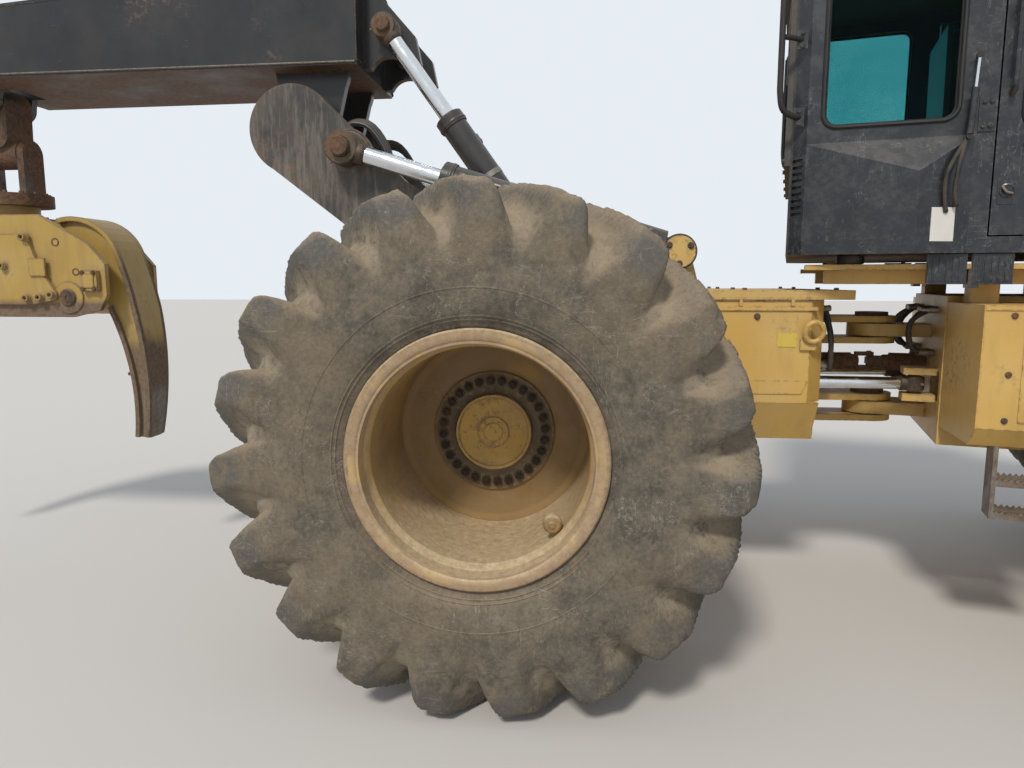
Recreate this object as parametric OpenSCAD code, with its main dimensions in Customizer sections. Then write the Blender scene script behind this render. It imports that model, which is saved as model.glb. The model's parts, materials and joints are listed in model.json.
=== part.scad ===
// Grapple skidder: an articulated four-wheel forestry tractor with an arch, a boom and a grapple.
// Rear coordinates start at the rear axle, front coordinates at the hitch pin, both at ground level.
// The front half stands turned to the right, as the machine is parked.

/* [Wheels] */
// Outside diameter of a tyre over its lugs
tyre_d = 1855; // [1700:5:1900]
// Section width of a tyre
tyre_w = 775; // [650:5:800]
// Lugs on each side of a tyre
lug_count = 19; // [15:1:24]
// Height of the lugs over the carcass
lug_h = 92; // [40:1:100]
// Outside diameter of the rim flange
rim_d = 864; // [800:2:900]
// Width of the rim over its flanges
rim_w = 700; // [600:5:720]
// How far the wheel disc sits inboard of the tyre's middle
disc_inset = 215; // [150:5:260]
// Diameter of the planetary cover on the hub
cover_d = 302; // [240:2:340]

/* [Layout] */
// Distance between the two axles
wheelbase = 3530; // [3400:10:3900]
// Distance between the middles of the tyres on one axle
track = 2320; // [2280:10:2400]
// Angle of the front half at the hitch, negative to the right
parked_angle = -15; // [-20:1:0]

/* [Frames] */
// Half width of the rear frame under the deck
rear_half_w = 500; // [460:5:540]
// Height of the deck over the ground
deck_z = 1474; // [1440:2:1500]
// Thickness of the frame side plates
frame_plate = 40; // [25:1:50]
// Half width of the front frame
front_half_w = 420; // [400:5:440]
// Height of the top of the front frame
front_top_z = 1450; // [1430:5:1470]
// Height of the underside of both frames
belly_z = 800; // [760:5:840]
// Radius of the hitch pins
hitch_pin_r = 45; // [35:1:60]

/* [Cab] */
// Height of the roof over the ground
cab_top_z = 3080; // [3040:5:3150]
// Height of the cab floor over the ground
cab_floor_z = 1620; // [1610:5:1640]
// Half width of the cab at the doors
cab_half_w = 735; // [700:5:745]
// Thickness of the cab walls and doors
cab_wall = 50; // [40:1:60]

/* [Hood] */
// Half width of the hood
hood_half_w = 500; // [460:5:540]
// Height of the hood at the cab
hood_rear_z = 2330; // [2250:5:2400]
// Height of the hood at the grille
hood_front_z = 2190; // [2100:5:2240]
// Thickness of the hood sheet
hood_sheet = 20; // [12:1:30]

/* [Arch and boom] */
// Radius of the round head of an arch arm
arch_head_r = 200; // [180:5:215]
// Half width over the arch arms
arch_half_w = 430; // [425:1:440]
// Thickness of an arch arm
arch_arm_w = 70; // [50:2:74]
// Radius of the arch and boom pivot pins
arch_pin_r = 50; // [40:1:60]
// Half width of the boom's box
boom_half_w = 330; // [300:5:340]
// Half width of the boom's nose over its cheeks
nose_half_w = 220; // [200:5:225]
// Reach of the boom behind its pivot
boom_reach = 1730; // [1600:10:1900]

/* [Grapple] */
// Half spacing of the two tong pins
tong_half_gap = 440; // [430:5:480]
// Half width of the grapple head between its side plates
head_half_w = 230; // [200:5:260]
// Width of a tong at its root
tong_w = 200; // [180:5:240]

/* [Blade] */
// Width of the blade
blade_w = 2660; // [2500:10:2800]

/* [Hidden] */
// Play round a pin, and between parts that only touch
pin_gap = 0.3;
// Running gap beside a moving part
side_gap = 6;

hitch_x = wheelbase / 2;
axle_z = tyre_d / 2;
fine = 72;

// How far the hub reaches inboard of the wheel disc, and the radius of the spindle in it.
hub_depth = 270;
spindle_r = 70;

// The tyre's rings from the bead to the middle of the tread. Each row is [distance from the middle
// and radius in a groove, the same two on a lug].
lug_end = 50;
shoulder_drop = 70;
bead_y = rim_w / 2 - 35;
bead_r = (rim_d / 2 - 22) / cos(0.16 * 360 / lug_count);
tyre_rings = [[bead_y, bead_r, bead_y, bead_r],
    [tyre_w / 2, tyre_d / 2 - 310, tyre_w / 2, tyre_d / 2 - 310],
    [tyre_w / 2 - 70, tyre_d / 2 - lug_h - shoulder_drop, tyre_w / 2 - 38, tyre_d / 2 - 22],
    [lug_end, tyre_d / 2 - lug_h, lug_end, tyre_d / 2],
    [0, tyre_d / 2 - lug_h, 0, tyre_d / 2 - lug_h]];

// Where a lug's foot and crest lie in its pitch, on each side; the left side is half a pitch on.
lug_steps = [0.16, 0.34, 0.66, 0.84];
lug_on = [[0, 1, 1, 0], [1, 0, 0, 1]];

// Slant of the lugs in degrees a millimetre, from the shoulder inwards.
lug_slant = 0.0545;
function lug_lean(y) = lug_slant * max(0, tyre_rings[2][0] - y);
function tyre_point(column, lug, step) = let (
    left = column > 4,
    ring = tyre_rings[left ? 8 - column : column],
    on = 2 * lug_on[left ? 1 : 0][step],
    a = (lug + lug_steps[step] - lug_steps[1]) * 360 / lug_count + lug_lean(ring[0])
        - lug_lean(lug_end) - 90)
    [ring[on + 1] * cos(a), (left ? 1 : -1) * ring[on], ring[on + 1] * sin(a)];
tyre_points = [for (column = [0:8], lug = [0:lug_count - 1], step = [0:3]) tyre_point(column, lug, step)];

// Points in the side view are [x, z].
arch_pivot = [400, 1300];
boom_pivot = [-990, 2200];
arch_ram_base = [750, 1638];
arch_ram_eye = [-723, 2096];
boom_ram_eye = [-583, 2673];
boom_tip = [boom_pivot[0] - boom_reach, 2560];
swing_pin = boom_tip + [0, -120];
tip_fork = 140;

// Each row is [barrel radius, rod radius, barrel length, length of rod inside it, plane, pin radius].
arch_ram = [72, 38, 1080, 250, 515, 42];
boom_ram = [62, 36, 1190, 340, 290, 32];
blade_ram = [50, 28, 390, 155, 315, 25];
tong_ram = [50, 28, 515, 245, 0, 26];

// The steering rams lie flat; their points are [x, distance from the middle].
steer_ram = [50, 28, 660, 0, 1050, 25];
steer_ram_base = [760, 250];
steer_ram_eye = [165, 280];
steer_rod_l = 800;

// Half height of the windows that the steering rams swing through.
steer_room = 65;

// The blade's section and the tongs follow arcs, as a centre and a radius.
blade_curve = [3950, 700];
blade_curve_r = 780;
blade_sheet = 40;
blade_edge = [31, 65];
blade_end_x = blade_curve[0] - (blade_curve_r - blade_edge[1]) * cos(blade_edge[0]);
tong_crown = [400, 1590];
tong_crown_r = 258;
tong_back_r = 1900;
tong_join = 20;
tong_back = tong_crown - (tong_back_r - tong_crown_r) * [cos(tong_join), sin(tong_join)];
tong_reach = tong_back[0] + tong_back_r;
tong_inner = [-624, 893];
tong_inner_r = 1288;

blade_pivot = [2250, 800];
blade_ram_base = [2560, 1340];
blade_ram_eye = [2750, 700];

// Where the middle of the parked machine's footprint lies, seen from the rear axle.
function front_x(x, y) = hitch_x + x * cos(parked_angle) - y * sin(parked_angle);
function front_y(x, y) = x * sin(parked_angle) + y * cos(parked_angle);
back_edge = boom_pivot[0] - boom_reach - tong_reach;
nose_edge = front_x(blade_end_x, blade_w / 2);
left_edge = track / 2 + tyre_w / 2;
right_edge = front_y(hitch_x, -track / 2)
    + min([for (p = tyre_points) p[0] * sin(parked_angle) + p[1] * cos(parked_angle)]);
row_shift = -[(back_edge + nose_edge) / 2, (left_edge + right_edge) / 2];

// Places rear parts in the row frame.
module rear() translate([row_shift[0], row_shift[1], 0]) children();

// Places front parts, turned at the hitch.
module front() rear() translate([hitch_x, 0, 0]) rotate([0, 0, parked_angle]) children();

// A shape on the right side and its mirror image on the left.
module pair() {
    children();
    mirror([0, 1, 0]) children();
}

// A side-view outline as a plate between two distances from the middle.
module plate(points, y0, y1) translate([0, y1, 0]) rotate([90, 0, 0])
    linear_extrude(y1 - y0) polygon(points);

// A round bar across the machine, through [x, z].
module bar(at, r, y0, y1) translate([at[0], y0, at[1]]) rotate([-90, 0, 0])
    cylinder(r = r, h = y1 - y0, $fn = fine);

// A box given by its two corners.
module box(low, high) translate(low) cube(high - low);

// A flat link in the side view, with a round end at each of two points.
module link_outline(a, b, ra, rb) {
    d = b - a;
    n = [-d[1], d[0]] / norm(d);
    translate(a) circle(r = ra, $fn = fine);
    translate(b) circle(r = rb, $fn = fine);
    polygon([a + n * ra * 0.99, b + n * rb * 0.99, b - n * rb * 0.99, a - n * ra * 0.99]);
}
module link(a, b, ra, rb, y0, y1) translate([0, y1, 0]) rotate([90, 0, 0])
    linear_extrude(y1 - y0) link_outline(a, b, ra, rb);

// Turns +Z from one side-view point towards another.
module along(a, b) translate([a[0], 0, a[1]])
    rotate([0, atan2(b[0] - a[0], b[1] - a[1]), 0]) children();

// The barrel of a hydraulic ram, from its base eye towards its rod eye.
module ram_barrel(ram, pin_r) difference() {
    union() {
        translate([0, 0, pin_r * 1.65]) cylinder(r = ram[0], h = ram[2] - pin_r * 1.65, $fn = fine);
        translate([0, 0, pin_r * 1.1]) cylinder(r = ram[0] * 0.66, h = pin_r, $fn = fine);
        rotate([90, 0, 0]) cylinder(r = pin_r * 1.8, h = ram[0] * 1.34, center = true, $fn = fine);
        translate([0, 0, ram[2] - 55]) cylinder(r = ram[0] + 6, h = 50, $fn = fine);
    }
    rotate([90, 0, 0]) cylinder(r = pin_r + pin_gap, h = ram[0] * 3, center = true, $fn = fine);
    translate([0, 0, pin_r * 1.8 + 20]) cylinder(r = ram[1] + pin_gap, h = ram[2], $fn = fine);
}

// The rod of a hydraulic ram, from its eye back into the barrel, with the pin fixed in the eye.
module ram_rod(ram, length, pin_w) {
    translate([0, 0, ram[5] * 1.2]) cylinder(r = ram[1], h = length - ram[5] * 1.2, $fn = fine);
    rotate([90, 0, 0]) cylinder(r = ram[5] * 1.8, h = ram[0] * 1.34, center = true, $fn = fine);
    rotate([90, 0, 0]) cylinder(r = ram[5], h = pin_w, center = true, $fn = fine);
    translate([0, 0, ram[5] * 1.15]) cylinder(r = ram[1] * 1.22, h = ram[5] * 1.5, $fn = fine);
}
module barrel(a, b, ram, pin_r) along(a, b) translate([0, -ram[4], 0]) ram_barrel(ram, pin_r);
module rod(a, b, ram, pin_w) along(b, a) translate([0, -ram[4], 0])
    ram_rod(ram, norm(b - a) - ram[2] + ram[3], pin_w);

// Tyre: a carcass about the Y axis, with lugs that slant in from each shoulder.
module tyre() {
    around = 4 * lug_count;
    corners = [for (c = [0:8], i = [0:around - 1]) let (n = (i + 1) % around, d = (c + 1) % 9)
        [c * around + i, c * around + n, d * around + n, d * around + i]];
    color("dimgray") polyhedron(tyre_points, [for (q = corners, half = [[0, 2, 1], [0, 3, 2]])
        [q[half[0]], q[half[1]], q[half[2]]]]);
}

// Wheel: rim, deep disc and planetary hub in one turning piece; outboard is -Y.
module wheel() {
    f = rim_d / 2;
    seat = f - 22.3;
    w = rim_w / 2;
    t = 14;
    disc = -disc_inset;
    color("goldenrod") rotate([90, 0, 0]) rotate_extrude($fn = 96) polygon([
        [seat, -w + 20], [f, -w + 20], [f, -w], [f - 44, -w], [f - 44, -w + 60],
        [f - 60, -w + 90], [f - 60, w - 90], [f - 44, w - 60], [f - 44, w], [f, w],
        [f, w - 20], [seat, w - 20], [seat, w - 70], [seat - 18, w - 100],
        [seat - 18, -w + 100], [seat, -w + 70]]);
    color("goldenrod") rotate([90, 0, 0]) difference() {
        union() {
            translate([0, 0, disc]) cylinder(r = f - 59, h = 22, $fn = 96);
            translate([0, 0, disc]) cylinder(r = 235, h = 34, $fn = 96);
            translate([0, 0, disc - hub_depth]) cylinder(r = 215, h = hub_depth + 1, $fn = fine);
            translate([0, 0, disc]) cylinder(d = cover_d, h = 62, $fn = fine);
        }
        translate([0, 0, disc + 56]) difference() {
            cylinder(d = cover_d - 30, h = 10, $fn = fine);
            cylinder(d = 120, h = 10, $fn = fine);
        }
        translate([0, 0, disc - hub_depth - 1]) cylinder(r = spindle_r + pin_gap, h = 201, $fn = fine);
    }
}

// Turns a wheel part from the right side to the left.
module left_side() mirror([0, 1, 0]) children();

module on_rear_axle() rear() translate([0, -track / 2, axle_z]) children();
module on_rear_left() rear() left_side() translate([0, -track / 2, axle_z]) children();
module on_front_axle() front() translate([hitch_x, -track / 2, axle_z]) children();
module on_front_left() front() left_side() translate([hitch_x, -track / 2, axle_z]) children();

module tyre_rear_right() on_rear_axle() tyre();
module tyre_rear_left() on_rear_left() tyre();
module tyre_front_right() on_front_axle() tyre();
module tyre_front_left() on_front_left() tyre();
module wheel_rear_right() on_rear_axle() wheel();
module wheel_rear_left() on_rear_left() wheel();
module wheel_front_right() on_front_axle() wheel();
module wheel_front_left() on_front_left() wheel();

// Axle: a differential bowl with a tapered tube and a spindle to each hub, and a frame pad.
hub_face = track / 2 - disc_inset - hub_depth - side_gap;
rear_pad_z = axle_z + 132;
front_pad_z = axle_z + 222;
module axle(pad_y, pad_top) color("goldenrod") {
    translate([0, 0, axle_z]) {
        sphere(r = 225, $fn = 48);
        rotate([90, 0, 0]) cylinder(r = 120, h = 2 * hub_face - 100, center = true, $fn = fine);
        pair() translate([0, -hub_face, 0]) rotate([-90, 0, 0]) cylinder(r = 190, h = 60, $fn = fine);
        pair() translate([0, -hub_face - 190, 0]) rotate([-90, 0, 0])
            cylinder(r = spindle_r, h = 191, $fn = fine);
    }
    pair() box([-130, -pad_y, axle_z + 60], [130, -pad_y + frame_plate, pad_top - pin_gap]);
}
module rear_axle() rear() axle(side_y, rear_pad_z);
module front_axle() front() translate([hitch_x, 0, 0]) axle(front_half_w, front_pad_z);

// Rear frame: side plates, deck, hitch ears, arch brackets and the butt plate at the back.
// A hitch lug of the front frame lies between [low, high], with a rear plate over and under it.
hitch_lugs = [[870, 930], [1250, 1310]];
hitch_plate = 30;
side_y = 400;
skirt_z = 980;
rear_floor_z = rear_pad_z + 130;
arch_ear_y = arch_ram[4] - arch_ram[0] - side_gap;

// The towing holes in the butt plate.
tow_y = 320;
tow_z = 900;
tow_r = 30;

module rear_frame() rear() color("goldenrod") difference() {
    union() {
        pair() plate([[-554, rear_pad_z], [300, rear_pad_z], [700, skirt_z], [760, belly_z],
            [1390, belly_z], [1390, deck_z - 40], [690, deck_z - 40], [620, rear_pad_z + 90],
            [290, rear_pad_z + 90], [290, rear_floor_z], [-554, rear_floor_z]],
            -side_y, -side_y + frame_plate);
        box([760, -side_y, belly_z], [1390, side_y, belly_z + 25]);
        pair() translate([0, 0, skirt_z]) linear_extrude(deck_z - 40 - skirt_z) polygon([
            [760, -rear_half_w], [1330, -rear_half_w], [1402, -rear_half_w + 72],
            [1380, -rear_half_w + 93], [1317, -rear_half_w + 30], [760, -rear_half_w + 30]]);
        pair() translate([760, 0, 0]) rotate([90, 0, 90]) linear_extrude(620) polygon([
            [-rear_half_w, skirt_z + 1], [-rear_half_w + 34, skirt_z + 1],
            [-side_y + 35, belly_z], [-side_y, belly_z]]);
        box([640, -rear_half_w - 10, deck_z - 41], [1505, rear_half_w + 10, deck_z]);
        pair() box([720, -rear_half_w - 8, deck_z - 88], [1355, -rear_half_w + 20, deck_z - 72]);
        box([1370, -105, belly_z], [1400, 105, deck_z - 40]);
        for (lug = hitch_lugs, z = [lug[0] - side_gap - hitch_plate, lug[1] + side_gap]) {
            box([1380, -105, z], [hitch_x, 105, z + hitch_plate]);
            translate([hitch_x, 0, z]) cylinder(r = 110, h = hitch_plate, $fn = fine);
        }
        pair() link([400, 1150], arch_pivot, 150, 120, -arch_half_w - 46, -arch_half_w - side_gap);
        pair() box([280, -arch_half_w - 46, 1090], [520, -side_y + 1, 1130]);
        pair() plate([[640, deck_z - 1], [860, deck_z - 1], [800, 1690], [700, 1690]],
            -arch_ear_y, -arch_ear_y + 30);
        pair() bar(arch_ram_base, arch_ram[5], -arch_ram[4] - 60, -arch_ear_y + 1);
        pair() bar(arch_ram_base, arch_ram[5] * 1.6, -arch_ram[4] - 60, -arch_ram[4] - 49);
        box([-554, -side_y, rear_floor_z - 24], [290, side_y, rear_floor_z]);
        pair() for (z = [steer_ram[4] - 70, steer_ram[4] + 40])
            box([700, -side_y, z], [steer_ram_base[0] + 40, -steer_ram_base[1] + 50, z + 30]);
        pair() translate([steer_ram_base[0], -steer_ram_base[1], steer_ram[4] - 69])
            cylinder(r = steer_ram[5], h = 138, $fn = fine);
    }
    pair() box([1000, -side_y - 1, steer_ram[4] - steer_room],
        [1391, -side_y + frame_plate + 1, steer_ram[4] + steer_room]);
    pair() bar(arch_pivot, arch_pin_r + pin_gap, -600, -200);
    translate([hitch_x, 0, 0]) cylinder(r = hitch_pin_r + pin_gap, h = 3000, $fn = fine);
}

// Butt plate: the thick plate that the log ends are pulled against, with two gussets and a
// towing hole low on each side.
module butt_plate() rear() color("goldenrod") difference() {
    union() {
        box([-600, -430, 640], [-554 - pin_gap, 430, 1250]);
        pair() plate([[-556, rear_pad_z - pin_gap], [-556, 700], [-430, rear_pad_z - pin_gap]],
            -side_y, -side_y + frame_plate);
    }
    pair() translate([-578, -tow_y, tow_z]) rotate([0, 90, 0])
        cylinder(r = tow_r, h = 100, center = true, $fn = fine);
}

// Hitch pins: an upper and a lower pin with a keeper flange.
module hitch_pins() rear() color("gray") for (lug = hitch_lugs) translate([hitch_x, 0, 0]) {
    translate([0, 0, lug[0] - side_gap - hitch_plate])
        cylinder(r = hitch_pin_r, h = lug[1] - lug[0] + 2 * (side_gap + hitch_plate) + 1, $fn = fine);
    translate([0, 0, lug[1] + side_gap + hitch_plate + pin_gap]) cylinder(r = 75, h = 18, $fn = fine);
}

// Front frame: a box over the axle with hitch lugs behind and a bumper in front.
front_back = 250;
module front_frame() front() color("goldenrod") difference() {
    union() {
        pair() plate([[front_back, belly_z], [1380, belly_z], [1480, front_pad_z],
            [2060, front_pad_z], [2160, 940], [2740, 940], [2740, front_top_z],
            [front_back, front_top_z]], -front_half_w, -front_half_w + frame_plate);
        box([front_back, -front_half_w, front_top_z - 25], [2740, front_half_w, front_top_z]);
        box([front_back, -front_half_w, belly_z], [1380, front_half_w, belly_z + 25]);
        box([2700, -240, 900], [2740, 240, front_top_z]);
        box([1460, -front_half_w, front_pad_z + 10], [2070, front_half_w, front_pad_z + 35]);
        box([front_back, -front_half_w, belly_z], [front_back + 40, front_half_w, front_top_z]);
        for (lug = hitch_lugs) {
            box([0, -105, lug[0]], [front_back + 1, 105, lug[1]]);
            translate([0, 0, lug[0]]) cylinder(r = 110, h = lug[1] - lug[0], $fn = fine);
        }
        pair() for (z = [steer_ram[4] - 75, steer_ram[4] + 45])
            box([steer_ram_eye[0] - 50, -steer_ram_eye[1] - 55, z],
                [front_back + 1, -steer_ram_eye[1] + 55, z + 30]);
        pair() box([-250, -600, 1500], [900, -480, 1560]);
        pair() box([-330, -700, 1559], [920, -470, 1580]);
        pair() for (x = [300, 780]) {
            box([x, -600, front_top_z - 26], [x + 100, -front_half_w + 10, front_top_z]);
            box([x, -600, front_top_z - 1], [x + 100, -480, 1501]);
        }
        pair() for (x = [-200, 800]) box([x, -590, 1559], [x + 90, -490, cab_floor_z - pin_gap]);
        pair() plate([[2500, front_top_z - 24], [2620, front_top_z - 24], [2620, 1292], [2500, 1292]],
            -blade_ram[4] + 60, -blade_ram[4] + 85);
        pair() link([2250, 1000], blade_pivot, 110, 80, -front_half_w, -front_half_w + 30);
        pair() bar(blade_ram_base, blade_ram[5], -front_half_w + 10, -blade_ram[4] + 84);
    }
    pair() box([front_back - 1, -steer_ram_eye[1] - 95, steer_ram[4] - steer_room],
        [front_back + 41, -steer_ram_eye[1] + 105, steer_ram[4] + steer_room]);
    cylinder(r = hitch_pin_r + pin_gap, h = 3000, $fn = fine);
    pair() bar(blade_pivot, 40 + pin_gap, -600, -200);
}

// Engine: one plain block in its real place under the hood.
module engine() front() color("dimgray") {
    box([1250, -280, front_top_z + pin_gap], [2300, 280, 2050]);
}

// Hood: a folded sheet over the engine, open below and at the grille.
hood_back = 1180;
hood_nose = 2700;
hood_fold = 110;

// The hood's cross-section, with folded top corners, less an inset.
module hood_section(inset) translate([hood_back - 1, 0, 0]) rotate([90, 0, 90])
    linear_extrude(hood_nose - hood_back + 2) polygon([
        [-hood_half_w + inset, 0], [-hood_half_w + inset, hood_front_z - 30 - inset / 2],
        [-hood_half_w + hood_fold + inset / 2, hood_rear_z + 1], [hood_half_w - hood_fold - inset / 2, hood_rear_z + 1],
        [hood_half_w - inset, hood_front_z - 30 - inset / 2], [hood_half_w - inset, 0]]);
module hood() front() color("gold") difference() {
    outline = [[hood_back, front_top_z + pin_gap], [hood_nose, front_top_z + pin_gap],
        [hood_nose, hood_front_z], [hood_back, hood_rear_z]];
    inner = [[hood_back + hood_sheet, 0], [hood_nose - hood_sheet, 0],
        [hood_nose - hood_sheet, hood_front_z - hood_sheet],
        [hood_back + hood_sheet, hood_rear_z - hood_sheet]];
    intersection() {
        plate(outline, -hood_half_w, hood_half_w);
        hood_section(0);
    }
    intersection() {
        plate(inner, -hood_half_w + hood_sheet, hood_half_w - hood_sheet);
        hood_section(hood_sheet);
    }
    pair() for (i = [0:11]) box([1500 + i * 66, -hood_half_w - 1, 1760],
        [1528 + i * 66, -hood_half_w + hood_sheet + 1, 2050]);
    box([hood_nose - 100, -hood_half_w + 60, 1500], [hood_nose + 100, hood_half_w - 60, 2100]);
}

// Grille: a frame with upright bars in front of the radiator.
module grille() front() color("black") translate([hood_nose + pin_gap, 0, 0]) difference() {
    box([0, -hood_half_w + 10, front_top_z + 10], [40, hood_half_w - 10, 2160]);
    for (i = [-6:6]) box([-1, i * 66 - 20, 1500], [41, i * 66 + 20, 2100]);
}

// Stacks: the exhaust and the air intake with its pre-cleaner, both standing on the hood.
module stacks() front() color("black") difference() {
    foot = hood_front_z;
    union() {
        translate([1450, -300, 0]) rotate_extrude($fn = 48) polygon([[0, foot], [75, foot],
            [75, foot + 180], [85, foot + 190], [85, foot + 560], [70, foot + 590], [55, foot + 600],
            [55, foot + 820], [49, foot + 820], [49, foot + 640], [0, foot + 640]]);
        translate([1450, 280, 0]) rotate_extrude($fn = 48) polygon([[0, foot], [70, foot],
            [70, foot + 340], [128, foot + 380], [130, foot + 400], [130, foot + 470], [116, foot + 480],
            [116, foot + 500], [130, foot + 510], [122, foot + 545], [60, foot + 559], [0, foot + 560]]);
    }
    plate([[hood_back, foot - 1], [hood_nose, foot - 1], [hood_nose, hood_front_z + pin_gap],
        [hood_back, hood_rear_z + pin_gap]], -hood_half_w, hood_half_w);
}

// Fuel tank on the left of the front frame, with its filler cap on the side.
side_box_z = 880;
side_box_y = 850;
module fuel_tank() front() color("goldenrod") {
    left_side() side_box();
    translate([640, side_box_y - 1, 1310]) rotate([-90, 0, 0]) cylinder(r = 60, h = 40, $fn = 36);
}

// A box on the side of the front frame, its rear face slanted so that the machine can turn and
// its lower edge folded in.
module side_box() difference() {
    translate([0, 0, side_box_z]) linear_extrude(front_top_z - 26 - pin_gap - side_box_z)
        polygon([[front_back + 4, -front_half_w - pin_gap], [front_back + 50, -side_box_y],
            [790, -side_box_y], [790, -front_half_w - pin_gap]]);
    translate([front_back, 0, 0]) rotate([90, 0, 90]) linear_extrude(600) polygon([
        [-side_box_y - 1, side_box_z + 75], [-side_box_y, side_box_z + 75], [-side_box_y + 60, side_box_z],
        [-side_box_y + 60, side_box_z - 1], [-side_box_y - 1, side_box_z - 1]]);
}

// Tool box on the right of the front frame.
module tool_box() front() color("goldenrod")
    side_box();

// Steps: a hanging ladder of toothed treads under the box on the right.
step_z = 590;
step_teeth = 14;
module steps() front() color("gray") {
    outer = -side_box_y + 62;
    for (x = [385, 690]) box([x, outer, step_z], [x + 16, outer + 110, side_box_z - pin_gap]);
    for (z = [step_z, step_z + 130]) {
        box([400, outer, z], [691, outer + 110, z + 8]);
        for (y = [outer, outer + 102]) plate(concat([[400, z + 7]],
            [for (i = [0:2 * step_teeth]) [400 + i * 291 / (2 * step_teeth), z + 22 + 12 * (i % 2)]],
            [[691, z + 7]]), y, y + 8);
    }
}

// Cab shell: a hollow frame with posts, floor and lower panels.
cab_rear = -410;
cab_front = 1150;
sill_z = 2080;
door_rear = 310;
door_front = 1080;
head_rail = cab_top_z - 150;
cab_corner = 60;

// The rear side windows, as [rear edge, front edge, lower edge, corner radius].
side_window = [cab_rear + 120, door_rear - 130, 2125, 50];

// The lower side panels come out to a ridge, as [x, distance out, top], and run to the door post.
panel_ridge = [55, 80, 1928];
panel_front = door_rear - 65;

// A window with round corners, cut through the walls between two distances from the middle.
module window(x0, x1, z0, z1, r, y0, y1) {
    box([x0 + r, y0, z0], [x1 - r, y1, z1]);
    box([x0, y0, z0 + r], [x1, y1, z1 - r]);
    for (x = [x0 + r, x1 - r], z = [z0 + r, z1 - r]) bar([x, z], r, y0, y1);
}
hinge_zs = [cab_floor_z + 230, head_rail - 280];

// The shell's half of the door hinges: a pin held in a bracket over and under each knuckle.
module hinge_brackets() for (z = hinge_zs) {
    translate([door_front - 6, -cab_half_w - 20, z - 25]) cylinder(r = 8, h = 110, $fn = 36);
    for (b = [z - 25, z + 60 + pin_gap]) {
        translate([door_front - 6, -cab_half_w - 20, b]) cylinder(r = 16, h = 25 - pin_gap, $fn = 36);
        box([door_front - 6, -cab_half_w - 36, b], [door_front + 40, -cab_half_w + 1, b + 25 - pin_gap]);
    }
}
module cab_shell() front() color("black") {
    pair() hinge_brackets();
    cab_walls();
}
// The cab's plan, with both rear corners cut off.
module cab_plan(inset, corner) polygon([
    [cab_rear + inset + corner, -cab_half_w + inset], [cab_front - inset, -cab_half_w + inset],
    [cab_front - inset, cab_half_w - inset], [cab_rear + inset + corner, cab_half_w - inset],
    [cab_rear + inset, cab_half_w - inset - corner], [cab_rear + inset, -cab_half_w + inset + corner]]);

// A lower side panel, folded out to its ridge and in again, under a sloping top.
module side_panel() difference() {
    translate([0, 0, cab_floor_z]) linear_extrude(sill_z - cab_floor_z) polygon([
        [cab_rear + cab_corner, -cab_half_w + 1], [cab_rear + cab_corner, -cab_half_w - 1],
        [panel_ridge[0], -cab_half_w - panel_ridge[1]], [panel_front, -cab_half_w - 1],
        [panel_front, -cab_half_w + 1]]);
    translate([cab_rear, 0, 0]) rotate([90, 0, 90]) linear_extrude(1000) polygon([
        [-cab_half_w + 2, sill_z - 15], [-cab_half_w - panel_ridge[1], panel_ridge[2]],
        [-cab_half_w - panel_ridge[1] - 20, panel_ridge[2]],
        [-cab_half_w - panel_ridge[1] - 20, sill_z + 1], [-cab_half_w + 2, sill_z + 1]]);
}
module cab_walls() difference() {
    union() {
        translate([0, 0, cab_floor_z]) linear_extrude(head_rail - cab_floor_z) cab_plan(0, cab_corner);
        pair() side_panel();
    }
    translate([0, 0, cab_floor_z + 40]) linear_extrude(head_rail - cab_floor_z)
        cab_plan(cab_wall, cab_corner / 2);
    window(side_window[0], side_window[1], side_window[2], head_rail - 60, side_window[3], -900, 900);
    box([door_rear, -900, cab_floor_z + 60], [door_front, 900, head_rail - 40]);
    pair() for (i = [0:8]) translate([cab_rear + cab_corner / 2, -cab_half_w + cab_corner / 2, 1780 + i * 27])
        rotate([0, 0, 45]) box([-10, -28, 0], [10, 28, 13]);
    box([cab_rear - 10, -cab_half_w + 90, sill_z - 60], [cab_rear + 90, cab_half_w - 90, head_rail - 60]);
    box([cab_front - 90, -cab_half_w + 90, sill_z + 200], [cab_front + 10, cab_half_w - 90, head_rail - 60]);
}

// Cab roof: a cap with an overhang, its front and rear edges sloped, with round work lamps.
lamp_r = 62;
module cab_roof() front() color("black") {
    under = head_rail + pin_gap;
    plate([[cab_rear - 60, under], [cab_front + 120, under], [cab_front + 120, under + 60],
        [cab_front + 60, cab_top_z - 15], [cab_front - 60, cab_top_z], [cab_rear + 40, cab_top_z],
        [cab_rear - 30, cab_top_z - 15], [cab_rear - 60, under + 50]], -cab_half_w - 20, cab_half_w + 20);
    for (y = [-560, -330, 330, 560]) translate([0, y, under + lamp_r + 5]) rotate([0, 90, 0]) {
        translate([0, 0, cab_front + 60]) cylinder(r = lamp_r, h = 100, $fn = 36);
        translate([0, 0, cab_rear - 80]) cylinder(r = lamp_r, h = 80, $fn = 36);
    }
}

// Glass: fixed panes behind the openings of the cab shell.
module cab_glass() front() color("teal") {
    pair() window(side_window[0] + pin_gap, side_window[1] - pin_gap, side_window[2] + pin_gap,
        head_rail - 60 - pin_gap, side_window[3], -cab_half_w + 20, -cab_half_w + 30);
    box([cab_rear + 20, -cab_half_w + 90.3, sill_z - 59.7], [cab_rear + 30, cab_half_w - 90.3, head_rail - 60.3]);
    box([cab_front - 30, -cab_half_w + 90.3, sill_z + 200.3], [cab_front - 20, cab_half_w - 90.3, head_rail - 60.3]);
}

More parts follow.
